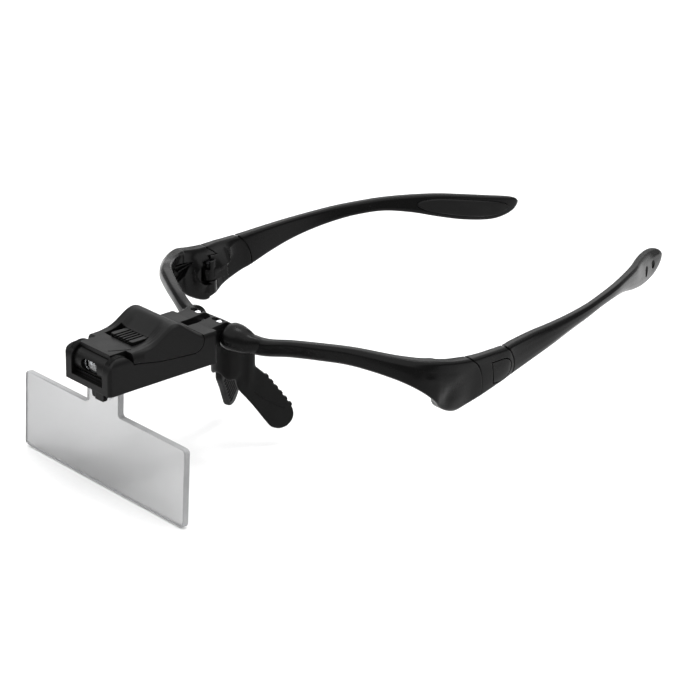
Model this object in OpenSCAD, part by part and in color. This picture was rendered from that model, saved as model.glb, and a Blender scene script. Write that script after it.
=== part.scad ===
// Lighted spectacle magnifier: a wrapped brow frame with two plug-in temple arms, a soft nose saddle,
// a lamp and battery housing that tilts on a steel pin in the bridge, and one clear lens plate.
// The origin is the nose seat on the middle plane, +X is the wearer's left, +Y runs back to the arm tips.

/* [Frame] */
// Half of the outer width across the hinge blocks
half_w = 71; // [67:0.5:75]
// Front face of the bridge bar, measured back from the nose seat
bridge_y = -11.6; // [-12.2:0.1:-10.8]
// Top of the arms at the hinge gap
arm_top_z = 13.1; // [11:0.1:15]
// How far the brow line arches above the hinge gap
arch_rise = 6; // [3:0.2:8]
// Height of the brow bar
bar_h = 5.7; // [4.6:0.1:7]
// Thickness of the brow bar
bar_t = 3.7; // [3:0.1:4.6]
// Greatest height of the end piece
end_h = 18.9; // [16:0.1:21]
// Thickness of the end piece
end_t = 5; // [4.4:0.1:6]
// Depth of the pocket in the end piece's inner face
pocket_d = 2; // [1:0.1:2.6]
// Width of each rounded cheek that holds the tilt pin
cheek_l = 10.8; // [10:0.2:12]

/* [Temple hinge] */
// Place of the hinge gap, measured back from the nose seat
hinge_y = 40.3; // [38:0.1:43]
// Distance of the hinge axis from the middle plane, short of the half width
hinge_in = 7.3; // [6.6:0.1:8]
// How far the hinge axis lies in front of the gap
hinge_fwd = 2.7; // [2.2:0.1:3.2]
// Radius of the hinge tongue
tongue_r = 2.7; // [2.3:0.1:3]
// Height of the hinge tongue
tongue_h = 5.8; // [5:0.1:7]
// Middle height of the hinge tongue
tongue_z = 3.2; // [2.8:0.1:3.6]
// Thickness of each hinge ear
ear_t = 2.8; // [2.2:0.1:3.2]
// Radius of the hinge screw
screw_r = 0.9; // [0.7:0.05:1.1]
// Radius of the hinge screw's head
screw_head_r = 1.8; // [1.5:0.1:2]
// Height of the hinge screw's head
screw_head_h = 1; // [0.7:0.1:1.2]

/* [Arms] */
// Length of the hinge block at its top edge
block_l = 15.6; // [14:0.2:18]
// Radius of the arc between block and arm, seen from the side
block_arc_r = 13.2; // [12:0.2:15]
// Length of the arm behind the block
arm_l = 114; // [104:1:124]
// How far the arm tips curve in
tip_in = 33; // [22:0.5:38]
// Thickness of the arm at the block
arm_t = 4; // [3.6:0.1:4.8]
// Thickness of the plug that enters the block
plug_t = 1.4; // [1.2:0.1:1.6]
// Height of the plug
plug_h = 7.4; // [6:0.2:8.2]
// Length of the plug
plug_l = 10.5; // [8:0.5:12]
// Thickness of the block's inner wall beside the plug
socket_wall = 0.8; // [0.6:0.1:1]
// Height of the D-shaped release button
release_h = 8.4; // [7:0.2:9]
// Length of the D-shaped release button
release_l = 9.8; // [8.6:0.2:10.2]
// Travel of the release button
release_travel = 0.5; // [0.3:0.05:0.6]
// Length of the soft tip pad
pad_l = 33; // [26:1:38]
// How far the tip pad stands proud of the arm's inner face
pad_proud = 0.7; // [0.4:0.1:1.2]
// Depth of the pocket that holds the tip pad
pad_seat = 0.8; // [0.5:0.1:1.2]
// Radius of the small round stud of the tip pad
stud_r = 1.4; // [1:0.1:1.7]

/* [Nose saddle] */
// Distance of each wing's outer face from the origin
wing_off = 8.3; // [7.4:0.1:9.4]
// Turn of the wings about the vertical
wing_turn = 62; // [56:1:68]
// Lean of the wings
wing_lean = 6; // [2:1:10]
// Half width of a wing
wing_r = 5.2; // [4.6:0.1:6]
// Length between the centres of a wing's two round ends
wing_l = 15.8; // [13:0.2:18]
// Thickness of a wing
wing_t = 2.8; // [2.2:0.1:3.4]
// Grip ribs on each wing
wing_ribs = 7; // [5:1:9]
// Height of the grip ribs
rib_h = 0.5; // [0.3:0.05:0.8]
// Half width of the saddle under the bridge bar
saddle_half_w = 7.4; // [7:0.1:8.4]
// Depth of the saddle from front to back at the middle
saddle_d = 5.4; // [4:0.1:5.6]
// Width of the tongue that plugs into the bridge bar
saddle_tongue_w = 9; // [6:0.5:12]
// Height of the tongue that plugs into the bridge bar
saddle_tongue_h = 3; // [2:0.1:3.6]
// Teeth along the rear edge of each wing
wing_teeth = 6; // [4:1:8]
// Top of the saddle, under the bridge bar
saddle_z = 10.3; // [10:0.1:10.4]

/* [Housing] */
// Width of the lamp and battery housing
housing_w = 24; // [23:0.5:27]
// Front of the housing, measured from the nose seat
housing_front = -66; // [-67:0.2:-65.6]
// Rear of the housing
housing_rear = -21; // [-22:0.1:-20.6]
// Underside of the housing
housing_z = 9.5; // [8.6:0.1:9.8]
// Height of the rear deck above the underside
deck_h = 11.3; // [11:0.1:12]
// Height of the front deck above the underside
front_deck_h = 12.6; // [12:0.1:13.4]
// Rise of the battery dome above the front deck
dome_h = 5.4; // [5:0.1:6.4]
// Wall of the housing
wall = 1.5; // [1.2:0.1:1.8]
// Gap between cover and base along the parting line
part_gap = 0.15; // [0.1:0.05:0.3]
// Radius of the housing's upright corners
corner_r = 1.2; // [0.8:0.1:2]

/* [Tilt hinge] */
// Tilt pin's place, back from the nose seat
pin_y = -15.5; // [-15.8:0.1:-15.2]
// Tilt pin's height
pin_z = 18.2; // [17.8:0.1:18.6]
// Radius of the tilt pin
pin_r = 1; // [0.8:0.05:1.2]
// Radius of the two hinge lugs
lug_r = 3.2; // [3:0.1:3.4]
// Width of each hinge lug
lug_w = 6.9; // [6.4:0.1:7.1]
// Gap between the two lugs
lug_gap = 4.2; // [3.4:0.1:4.6]
// Length of the window in each lug
window_l = 5; // [4:0.2:5.4]
// Width of the window in each lug
window_w = 2.4; // [1.6:0.1:2.6]

/* [Lamp] */
// Radius of the lamp barrel
barrel_r = 4.3; // [4:0.1:4.4]
// Length of the lamp barrel
barrel_l = 15.6; // [14:0.2:16]
// Barrel axis behind the front of the housing
barrel_back = 5.2; // [5:0.1:5.4]
// Barrel axis above the underside
barrel_h = 6.9; // [6.8:0.1:7.2]
// Radius of the barrel's journals
journal_r = 1.8; // [1.4:0.1:2]
// Length of the barrel's journals
journal_l = 2; // [1.4:0.1:2.6]
// Radius of the arch on top of each front cheek
arch_r = 5.2; // [5:0.1:5.4]
// Height of the arch's centre above the underside
arch_h = 6.9; // [6.8:0.1:7.2]
// Radius of the rounding along the top edges of the arches
arch_edge = 2.4; // [1.6:0.1:2.8]
// Radius of each of the two lamps
led_r = 1.2; // [1:0.1:1.3]
// Distance between the two lamps
led_gap = 3.4; // [3.2:0.1:3.6]
// Length of a lamp below its dome
led_l = 1.4; // [1:0.1:1.6]
// Width of the lamp window
window_clear_w = 8.2; // [7:0.2:9]
// Height of the lamp window
window_clear_h = 4.4; // [3.8:0.2:4.8]
// Grip ribs over each front arch
arch_ribs = 4; // [3:1:5]

/* [Switch] */
// Length of the switch slider
slider_l = 11.4; // [9:0.2:12]
// Width of the switch slider
slider_w = 6.4; // [5:0.2:7]
// Travel of the switch slider
slider_travel = 2.6; // [1.6:0.1:3]
// Height of the slider above the front deck
slider_up = 1; // [0.8:0.1:1.8]
// Middle of the slider, measured back from the front of the housing
slider_back = 17.3; // [17:0.1:17.6]
// How far the switched-off slider stands to the left of the middle
slider_off = 0.3; // [0:0.1:0.6]
// Depth of the recess around the slider
recess_d = 1.4; // [1:0.1:1.6]
// Grooves across the slider
grooves = 5; // [3:1:7]

/* [Battery] */
// Radius of a button cell
cell_r = 5.8; // [5.4:0.1:5.8]
// Thickness of a button cell
cell_t = 5.4; // [5:0.1:5.4]
// Number of button cells
cells = 3; // [2:1:3]
// Cell axis, measured back from the front of the housing
cell_back = 27.8; // [27.6:0.1:28]
// Cell axis above the underside
cell_h = 10.4; // [10:0.1:10.6]
// Thickness of the contact strips
strip_t = 0.3; // [0.2:0.05:0.4]
// Thickness of the battery door
door_t = 1.3; // [1:0.1:1.4]
// Length of the battery door
door_l = 13.6; // [13:0.2:14.4]
// Width of the battery door
door_w = 17; // [16:0.2:18]
// Width of the contact strips
contact_w = 6; // [4.4:0.2:7]
// Height of the contact strips
contact_h = 8; // [7:0.2:9]

/* [Lens] */
// Width of the lens plate
lens_w = 85; // [70:1:100]
// Height of the lens plate
lens_h = 27; // [22:0.5:34]
// Thickness of the lens plate
lens_t = 2.4; // [2:0.1:2.6]
// Corner radius of the lens plate
lens_r = 1.6; // [1:0.1:4]
// Front face of the lens behind the front of the housing
lens_back = 6; // [5.8:0.1:6.2]
// Width of the tab on the lens plate
tab_w = 17; // [16:0.2:18]
// How deep the tab enters the housing
tab_seat = 1.4; // [1:0.1:1.6]
// Forward lean of the lens plate
lens_lean = 2.4; // [0:0.2:4]
// Width of the clip in front of the tab
clip_w = 7; // [5:0.5:8]
// Thickness of the clip
clip_t = 1.8; // [1.2:0.1:2]
// How far the clip hangs below the housing
clip_drop = 5.4; // [4:0.2:7]
// Thickness of the stop behind the tab
stop_t = 1.6; // [1.2:0.1:2]

/* [Fits] */
// Radial running clearance of pins and journals
run_c = 0.05; // [0.03:0.01:0.08]
// Clearance between moving faces
face_c = 0.3; // [0.2:0.05:0.4]
// Clearance of parts that plug together
plug_c = 0.1; // [0.05:0.05:0.15]

/* [Hidden] */
$fn = 40;
e = 0.01;
black = "#17181a";
soft = "#242527";
steel = "#c9ccd0";

// Curve through a list of control rows, u from 0 to the last row's index
function spline(a, b, c, d, t) =
  0.5 * (2 * b + (c - a) * t + (2 * a - 5 * b + 4 * c - d) * t * t + (3 * b - a - 3 * c + d) * t * t * t);
function along(rows, u) =
  let (last = len(rows) - 1, i = min(floor(u), last - 1))
  spline(rows[max(i - 1, 0)], rows[i], rows[i + 1], rows[min(i + 2, last)], u - i);
function smooth(t) = let (s = max(0, min(1, t))) s * s * (3 - 2 * s);
function rad(p) = sqrt(p[0] * p[0] + p[1] * p[1]);

// Solid skin over rings that all have the same number of points
module loft(rings) {
  m = len(rings[0]);
  n = len(rings);
  sides = [
    for (i = [0:n - 2], j = [0:m - 1])
      let (a = i * m + j, b = i * m + (j + 1) % m, c = b + m, d = a + m)
      each [[a, b, c], [a, c, d]]
  ];
  first = [for (j = [1:m - 2]) [0, j + 1, j]];
  last = [for (j = [1:m - 2]) [(n - 1) * m, (n - 1) * m + j, (n - 1) * m + j + 1]];
  polyhedron([for (r = rings) each r], concat(sides, first, last), convexity = 8);
}

// Solid under a surface given on a grid of x by y, down to a floor
module under(xs, ys, z0, heights) {
  nx = len(xs);
  ny = len(ys);
  top = [for (j = [0:ny - 1], i = [0:nx - 1]) [xs[i], ys[j], heights[j][i]]];
  edge = concat(
    [for (i = [0:nx - 1]) i],
    [for (j = [1:ny - 1]) j * nx + nx - 1],
    [for (i = [nx - 2:-1:0]) (ny - 1) * nx + i],
    [for (j = [ny - 2:-1:1]) j * nx]
  );
  k = len(edge);
  base = nx * ny;
  low = [for (p = edge) [top[p][0], top[p][1], z0]];
  middle = [(xs[0] + xs[nx - 1]) / 2, (ys[0] + ys[ny - 1]) / 2, z0];
  floor_f = [for (i = [0:k - 1]) [base + k, base + i, base + (i + 1) % k]];
  up = [
    for (j = [0:ny - 2], i = [0:nx - 2])
      let (a = j * nx + i)
      each [[a, a + nx, a + nx + 1], [a, a + nx + 1, a + 1]]
  ];
  wall_f = [
    for (i = [0:k - 1])
      let (n = (i + 1) % k)
      each [[edge[i], edge[n], base + n], [edge[i], base + n, base + i]]
  ];
  polyhedron(concat(top, low, [middle]), concat(up, wall_f, floor_f), convexity = 8);
}

// A rounded rectangle about the origin
module rounded(w, l, r) {
  square([w - 2 * r, l], center = true);
  square([w, l - 2 * r], center = true);
  for (x = [-1, 1], y = [-1, 1])
    translate([x * (w / 2 - r), y * (l / 2 - r)])
      circle(r);
}

// Extrusion of a side outline, drawn as back by up, across the width from x0 to x1
module across(x0, x1) {
  translate([x0, 0, 0])
    rotate([90, 0, 90])
      linear_extrude(x1 - x0)
        children();
}

// Round bar along X
module bar_x(x0, x1, y, z, r) {
  translate([x0, y, z])
    rotate([0, 90, 0])
      cylinder(h = x1 - x0, r = r);
}

// A child for the left side, and its mirror for the right
module side(s) {
  if (s > 0) children();
  else mirror([1, 0, 0]) children();
}

// Section of frame and arms: a flat top strip, a crease, a bulged outer face and a plain inner face
//   t: outer top corner, n: direction to the wearer, lean: how far the lower edge lies inside the top one
function section(t, n, zb, lean, thick, bulge) =
  let (h = t[2] - zb, c = min(0.9, 0.22 * h), k = min(0.8, 0.2 * thick))
  [
    for (q = [
      [0, t[2] - c], [k, t[2]], [thick - k, t[2]], [thick, t[2] - k],
      [thick + 0.5 * lean, t[2] - 0.5 * h], [thick + lean, zb + c], [thick + lean - k, zb],
      [lean + k, zb], [lean, zb + c], [0.75 * lean - 0.7 * bulge, zb + 0.27 * h],
      [0.5 * lean - bulge, zb + 0.52 * h], [0.25 * lean - 0.7 * bulge, zb + 0.77 * h]
    ]) [t[0] + n[0] * q[0], t[1] + n[1] * q[0], q[1]]
  ];

// Brow line rows: across and back as parts of the way to the hinge gap, arch, depth, thickness, lean, turn
brow_rows = [
  [0.00, 0.00, 0.72, 0.10, 0.75, 0.0, 90],
  [0.14, 0.00, 0.68, 0.06, 0.70, 0.0, 90],
  [0.28, 0.05, 0.58, 0.00, 0.00, -0.3, 105],
  [0.42, 0.11, 0.85, 0.00, 0.00, 0.3, 110],
  [0.56, 0.20, 0.98, 0.00, 0.00, 0.0, 116],
  [0.70, 0.31, 1.00, 0.02, 0.10, -0.3, 122],
  [0.84, 0.48, 0.66, 0.11, 0.40, -1.3, 134],
  [0.92, 0.60, 0.46, 0.30, 0.75, -2.1, 142],
  [0.96, 0.69, 0.38, 0.62, 0.95, -1.0, 158]
];
function brow(u) =
  let (
    r = along(brow_rows, u),
    z = arm_top_z + r[2] * arch_rise,
    depth = bar_h + r[3] * (end_h - bar_h),
    p = [r[0] * half_w, bridge_y + r[1] * (hinge_y - bridge_y), z]
  )
  section(p, [cos(r[6]), sin(r[6])], z - depth, r[5], bar_t + r[4] * (end_t - bar_t), 0.35);

// Arm rows behind the corner: back from the gap, inset, fall of the top, depth, lean, thickness share, bulge
arm_start = hinge_y - 13;
block_y = hinge_y + block_l;
tip_y = block_y + arm_l;
joint_rows = [
  [arm_start, 1.6, 1.5, 1.00 * end_h - 2.7, 0.8, end_t, 0.5],
  [hinge_y - 9, 0.9, 0.9, 1.00 * end_h - 0.9, 2.2, end_t, 0.5],
  [hinge_y - 4.5, 0.5, 0.3, end_h, 3.3, end_t, 0.4],
  [hinge_y, 0.2, 0, end_h - 0.7, 3.4, 0.5 * (arm_t + end_t), 0.3],
  [hinge_y + 5, 0, 0, end_h - 2.6, 2.4, arm_t, 0.3],
  [hinge_y + 10, 0, -0.1, end_h - 4.4, 1.8, arm_t, 0.4],
  [block_y, 0, -0.1, end_h - 6, 1.6, arm_t, 0.5]
];
arm_rows = [
  [0.035, 0.5, 0.2, 12.2, 1.3, 1.00, 0.5],
  [0.12, 1.3, 0.8, 10.1, 0.5, 0.92, 0.6],
  [0.21, 1.8, 1.1, 7.9, 0.4, 0.85, 0.6],
  [0.30, 2.8, 1.4, 6.2, 0.7, 0.80, 0.6],
  [0.39, 4.3, 1.8, 5.2, 0.9, 0.80, 0.5],
  [0.47, 6.6, 2.1, 4.7, 0.9, 0.82, 0.5],
  [0.56, 9.7, 2.3, 5.0, 0.9, 0.86, 0.5],
  [0.65, 13.8, 2.1, 6.6, 1.3, 0.90, 0.5],
  [0.74, 18.6, 1.6, 9.0, 0.9, 0.95, 0.6],
  [0.82, 24.0, 0.7, 10.2, -0.4, 1.00, 0.7],
  [0.90, 29.0, -0.5, 9.9, -1.2, 1.00, 0.8],
  [0.95, 31.4, -1.4, 8.2, -1.3, 0.95, 0.7],
  [0.985, 32.7, -2.4, 5.4, -0.9, 0.80, 0.4],
  [1.00, 33.0, -3.6, 2.2, -0.3, 0.60, 0.1]
];
tip_full = 33;
arm_table = concat(
  joint_rows,
  [for (r = arm_rows) [block_y + r[0] * arm_l, r[1] * tip_in / tip_full, r[2], r[3], r[4], r[5] * arm_t, r[6]]]
);
arm_last = len(arm_table) - 1;
block_last = len(joint_rows) - 1;
function arm_ring(u) =
  let (r = along(arm_table, u), z = arm_top_z + r[2])
  section([half_w - r[1], r[0], z], [-1, 0], z - r[3], r[4], r[5], r[6]);
function arm_at(y) = lookup(y, [for (i = [0:arm_last]) [arm_table[i][0], i]]);
function outer_x(y, z) =
  let (r = along(arm_table, arm_at(y)), top = arm_top_z + r[2], u = (top - z) / r[3])
  half_w - r[1] - r[4] * u + r[6] * (1 - pow(2 * u - 1, 2));
function inner_x(y, z) =
  let (r = along(arm_table, arm_at(y)), u = (arm_top_z + r[2] - z) / r[3])
  half_w - r[1] - r[4] * u - r[5];

// Temple hinge
hx = half_w - hinge_in;
hy = hinge_y - hinge_fwd;
tongue_top = tongue_z + tongue_h / 2;
tongue_low = tongue_z - tongue_h / 2;
ear_top = tongue_top + face_c + ear_t;
ear_low = tongue_low - face_c - ear_t;
ear_r = tongue_r + 0.3;

// Side outline of everything in front of the hinge gap
module gap_front(c) {
  polygon([
    [-100, -60], [hinge_y + 5.2 - c, -60], [hinge_y + 5 - c, arm_top_z - 14], [hinge_y + 3 - c, arm_top_z - 4.2],
    [hinge_y - c, arm_top_z + 0.3], [hinge_y - 1 - c, arm_top_z + 5], [-100, 60]
  ]);
}
arc_y = block_y + 3.6 - block_arc_r;
arc_z = 5;

// One skin from the right hinge gap over the bridge to the left one
brow_side = concat(
  [for (i = [0:2 * (len(brow_rows) - 1)]) brow(i / 2)],
  [for (i = [0:9]) arm_ring(i / 2)]
);
function mirrored(ring) = [for (p = ring) [-p[0], p[1], p[2]]];
module brow_skin() {
  k = len(brow_side) - 1;
  loft(concat([for (i = [k:-1:1]) mirrored(brow_side[i])], brow_side));
}

// Slot for the tongue, with its round seat in front
module tongue_slot() {
  r = tongue_r + 0.9;
  translate([hx, hy, tongue_low - face_c])
    linear_extrude(tongue_h + 2 * face_c) {
      circle(r);
      polygon([[0, -r], [-20, -r], [-20, 20], [r, 20], [r, 0]]);
    }
}

// Pocket in the inner face of the end piece, with the ribs left standing in it
pocket_l = 7.5;
pocket_z = arm_top_z - 3.4;
module end_pocket() {
  y0 = hy - tongue_r - 2.9 - pocket_l;
  x0 = inner_x(y0 + pocket_l, pocket_z) + pocket_d;
  difference() {
    translate([x0, y0, 0])
      rotate([0, -90, 0])
        linear_extrude(20)
          polygon([[pocket_z, 0], [pocket_z, pocket_l], [tongue_z - 1, pocket_l], [tongue_low, 0.45 * pocket_l]]);
    for (i = [1:2])
      translate([x0 - 20, y0 + i * pocket_l / 3 - 0.4, tongue_z + 1])
        cube([20 - 0.4 * pocket_d, 0.8, 20]);
  }
}

// Ear: a round end on the hinge axis and a web to the end piece
module ear(z) {
  translate([hx, hy, z])
    linear_extrude(ear_t) {
      circle(ear_r);
      polygon([[-ear_r, 0], [-ear_r + 0.6, -3.6], [0.6, -6], [ear_r, -6], [ear_r, 0]]);
    }
}

// Rounded cheek beside the housing, which holds one end of the tilt pin
cheek_x = lug_gap / 2 + lug_w + 0.4;
cheek_rows = [
  [0.00, 2.3, -1.8, 5.2, 4.4],
  [0.18, 2.5, -2.0, 5.5, 4.5],
  [0.40, 3.4, -2.6, 5.0, 4.0],
  [0.62, 4.8, -3.4, 3.9, 3.3],
  [0.82, 6.4, -3.8, 2.8, 2.8],
  [1.00, 8.0, -3.6, 1.4, 2.0]
];
module cheek() {
  sides = 16;
  loft([
    for (i = [0:2 * (len(cheek_rows) - 1)])
      let (r = along(cheek_rows, i / 2))
      [
        for (j = [0:sides - 1])
          let (a = -360 * j / sides)
          [cheek_x + r[0] * cheek_l, pin_y + r[1] + r[3] * cos(a), pin_z + r[2] + r[4] * sin(a)]
      ]
  ]);
}

module brow_frame() {
  color(black)
    difference() {
      union() {
        difference() {
          brow_skin();
          across(-100, 100)
            difference() {
              translate([0, -60]) square([100, 120]);
              gap_front(0);
            }
          for (s = [-1, 1])
            side(s) {
              tongue_slot();
              end_pocket();
            }
        }
        for (s = [-1, 1])
          side(s) {
            cheek();
            ear(ear_low);
            ear(ear_top - ear_t);
          }
      }
      bar_x(-cheek_x - pin_bed, cheek_x + pin_bed, pin_y, pin_z, pin_r);
      saddle_tongue(plug_c);
      for (s = [-1, 1])
        side(s)
          translate([hx, hy, 0]) {
            translate([0, 0, ear_low + 0.5]) cylinder(h = ear_top - ear_low, r = screw_r + run_c);
            translate([0, 0, ear_top - screw_head_h]) cylinder(h = 10, r = screw_head_r + plug_c);
          }
    }
}

// Steel pin, pressed into both cheeks
pin_bed = 2.2;
module tilt_pin() {
  color(steel)
    bar_x(-cheek_x - pin_bed, cheek_x + pin_bed, pin_y, pin_z, pin_r);
}

// Hinge screw, head down in the upper ear
module hinge_screw(s) {
  color(steel)
    side(s)
      translate([hx, hy, 0]) {
        translate([0, 0, ear_low + 0.7]) cylinder(h = ear_top - ear_low - screw_head_h - 0.7, r = screw_r);
        difference() {
          translate([0, 0, ear_top - screw_head_h]) cylinder(h = screw_head_h - 0.1, r = screw_head_r);
          translate([-screw_head_r, -0.25, ear_top - 0.5]) cube([2 * screw_head_r, 0.5, 1]);
        }
      }
}

module block_skin() {
  loft([for (i = [5:2 * block_last + 2]) arm_ring(i / 2)]);
}

module hinge_block(s) {
  color(black)
    side(s)
      difference() {
        union() {
          difference() {
            block_skin();
            across(0, 100) gap_front(-face_c);
            across(0, 100)
              difference() {
                translate([arc_y, -40]) square([60, 80]);
                translate([arc_y, arc_z]) circle(block_arc_r - face_c / 2);
              }
            translate([hx, hy, -40]) cylinder(h = 80, r = ear_r + face_c);
          }
          tongue();
        }
        translate([hx, hy, -40]) cylinder(h = 80, r = screw_r + run_c);
        socket();
      }
}

// Tongue of the hinge block, which turns between the two ears
module tongue() {
  translate([hx, hy, tongue_low])
    linear_extrude(tongue_h) {
      circle(tongue_r);
      polygon([
        [-tongue_r, 0], [-tongue_r, 3], [hinge_in - arm_t - 1.4, 11], [hinge_in - 2.4, 11],
        [hinge_in - 2.4, 8.8], [tongue_r + 0.5, 8], [tongue_r, 0]
      ]);
    }
}

// Socket for the plug, and the D-shaped window for the release button
release_y = block_y - 7.4;
release_z = arc_z;
skin_x = outer_x(release_y + 4, release_z);
plug_x = inner_x(release_y + 4, release_z) + socket_wall + plug_c;
module socket() {
  y0 = block_y - plug_l + 2.6;
  translate([plug_x - plug_c, y0, release_z - plug_h / 2 - plug_c])
    cube([plug_t + 2 * plug_c, 20, plug_h + 2 * plug_c]);
  translate([plug_x, release_y - 1, release_z - plug_h / 2 - plug_c])
    cube([skin_x - plug_x - 0.9, release_l + 1.3, plug_h + 2 * plug_c]);
  translate([plug_x, 0, 0])
    across(0, 20) d_shape(plug_c);
}

// D-shaped outline of the release button, flat edge to the front
module d_shape(c) {
  r = release_h / 2;
  translate([release_y, release_z]) {
    translate([-c, -r - c]) square([release_l - r + c, 2 * (r + c)]);
    translate([release_l - r, 0]) circle(r + c);
  }
}

// Release button: the D-shaped face and a flange that keeps it in the block
flange_t = 0.5;
module release_button(s) {
  back = skin_x - 0.9 - flange_t - plug_c;
  color(black)
    side(s) {
      intersection() {
        across(back, skin_x + 2) d_shape(0);
        block_skin();
      }
      across(back, back + flange_t)
        translate([release_y - 0.7, release_z - plug_h / 2])
          square([release_l + 0.8, plug_h]);
    }
}

// Release spring: a shallow leaf between the plug and the button
module release_spring(s) {
  rise = skin_x - 0.9 - flange_t - plug_c - plug_x - plug_t;
  color(steel)
    side(s)
      translate([plug_x + plug_t, release_y + 0.6, release_z - 1])
        linear_extrude(2)
          polygon([
            [0, 0], [0.15, 0], [rise, 2.6], [rise, 3.8], [0.15, 6.4], [0, 6.4], [0, 5.9], [rise - 0.15, 3.6],
            [rise - 0.15, 2.8], [0, 0.5]
          ]);
}

// Arm: from the arc behind the block to the tip, with its plug
module arm(s) {
  steps = 2;
  color(black)
    side(s)
      difference() {
        union() {
          difference() {
            loft([for (i = [steps * (block_last - 1):steps * arm_last]) arm_ring(i / steps)]);
            across(0, 100) {
              translate([arc_y, arc_z]) circle(block_arc_r + face_c / 2);
              translate([0, -60]) square([arc_y + 1, 120]);
            }
          }
          plug();
        }
        pad_body(plug_c, 0);
        pad_studs(stud_r + plug_c);
      }
}

module plug() {
  y0 = block_y - plug_l + 2.6 + plug_c;
  translate([plug_x, y0, release_z - plug_h / 2])
    cube([plug_t, plug_l + 2.4, plug_h]);
}

// Soft tip pad: an oval let into the arm's inner face, held by two studs
pad_end = 0.955;
module pad_body(c, proud) {
  y1 = block_y + pad_end * arm_l + c;
  y0 = y1 - pad_l - 2 * c;
  n = 14;
  loft([
    for (i = [0:n])
      let (
        v = i / n,
        y = y0 + v * (y1 - y0),
        r = along(arm_table, arm_at(y)),
        half = (0.33 * r[3] + c) * sqrt(max(0.06, 1 - pow(2 * v - 1, 4))),
        mid = arm_top_z + r[2] - 0.5 * r[3]
      )
      [
        for (q = [[0, -0.8], [0, 0.8], [1, 1], [2, 0.7], [2, -0.7], [1, -1]])
          let (z = mid + q[1] * half, x = inner_x(y, mid + 0.5 * q[1] * half))
          [x + [pad_seat + c, 0, -(proud > 0 ? proud : 1)][q[0]], y, z]
      ]
  ]);
}

module pad_studs(r) {
  for (k = [0, 1]) {
    y = block_y + (pad_end - 0.04 - 0.07 * k) * arm_l;
    q = along(arm_table, arm_at(y));
    z = arm_top_z + q[2] - 0.45 * q[3];
    translate([inner_x(y, z) + pad_seat - 0.4, y, z])
      rotate([0, 90, 0])
        linear_extrude(q[5] + q[6] - pad_seat - 0.2) {
          circle(r);
          if (k == 1)
            translate([0, -r]) circle(0.7 * r);
        }
  }
}

module tip_pad(s) {
  color(soft)
    side(s) {
      pad_body(0, pad_proud);
      pad_studs(stud_r);
    }
}

// Soft nose saddle: a bridge piece under the cheeks and two ribbed wings
module wing_place() {
  rotate([0, 0, wing_turn])
    rotate([-wing_lean, 0, 0])
      translate([0, -wing_off, 0])
        children();
}
wing_x0 = 1;
wing_z0 = -4.6;
wing_tip_x = wing_x0 + 0.6 * wing_l;
wing_tip_z = wing_z0 - 0.8 * wing_l;
module wing() {
  wing_place()
    rotate([-90, 0, 0]) {
      mirror([0, 1, 0])
        linear_extrude(wing_t) {
          translate([wing_x0, wing_z0]) circle(wing_r);
          translate([wing_tip_x, wing_tip_z]) circle(wing_r);
          translate([wing_x0, wing_z0])
            rotate(-53.13) {
              translate([0, -wing_r]) square([wing_l, 2 * wing_r]);
              for (i = [0:wing_teeth - 1])
                translate([(i + 0.9) * wing_l / wing_teeth, wing_r - 0.15]) circle(0.7);
            }
        }
      for (i = [0:wing_ribs - 1])
        translate([
          wing_x0 + 0.6 * wing_l * (i + 1) / wing_ribs, -wing_z0 + 0.8 * wing_l * (i + 1) / wing_ribs, wing_t - 0.4
        ])
          rotate(53.13)
            translate([-0.35, -wing_r + 1.2, 0]) cube([0.7, 2 * wing_r - 2.4, rib_h + 0.4]);
    }
}

module nose_saddle() {
  w = saddle_half_w;
  y1 = saddle_back;
  y0 = saddle_back - saddle_d;
  color(soft) {
    for (s = [-1, 1])
      side(s) wing();
    intersection() {
      translate([0, 0, -10])
        linear_extrude(saddle_z + 10)
          polygon([
            [-w, y1 + 2], [-0.9 * w, y1 - 1], [-0.7 * w, y1 - 3.6], [-0.36 * w, y0 + 0.4], [0, y0], [0.36 * w, y0 + 0.4],
            [0.7 * w, y1 - 3.6], [0.9 * w, y1 - 1], [w, y1 + 2], [0.8 * w, y1 + 3.2], [0.5 * w, y1 + 1], [0, y1 - 0.4],
            [-0.5 * w, y1 + 1], [-0.8 * w, y1 + 3.2]
          ]);
      translate([0, 20, 0])
        rotate([90, 0, 0])
          linear_extrude(60)
            polygon([
              [-w, 20], [-w, 8.8], [-0.88 * w, 6.4], [-0.87 * w, 3], [-0.92 * w, 0], [-0.82 * w, -3.4],
              [-0.6 * w, -5.8], [-0.4 * w, -5.4], [-0.2 * w, -4.2], [0, -3.8], [0.2 * w, -4.2], [0.4 * w, -5.4],
              [0.6 * w, -5.8], [0.82 * w, -3.4], [0.92 * w, 0], [0.87 * w, 3], [0.88 * w, 6.4], [w, 8.8], [w, 20]
            ]);
    }
    saddle_tongue(0);
  }
}

// Tongue on the saddle, and with a clearance its slot in the bridge bar
module saddle_tongue(c) {
  translate([-saddle_tongue_w / 2 - c, bridge_y + 1.4 - c, saddle_z - 1])
    cube([saddle_tongue_w + 2 * c, 1.8 + 2 * c, saddle_tongue_h + 1 + c]);
}
saddle_back = bridge_y + 5.2;

// Housing
hw = housing_w / 2;
barrel_y = housing_front + barrel_back;
barrel_z = housing_z + barrel_h;
arch_y = housing_front + arch_r;
arch_z = housing_z + arch_h;
deck_z = housing_z + deck_h;
front_deck_z = housing_z + front_deck_h;
part_z = housing_z + 5.8;
part_rise = 3.1;
cover_front = arch_y + 0.85 * arch_r;
lip_y = arch_y - 0.33 * arch_r;
cover_rear = housing_rear - 5.6;
cell_y = housing_front + cell_back;
cell_z = housing_z + cell_h;

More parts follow.
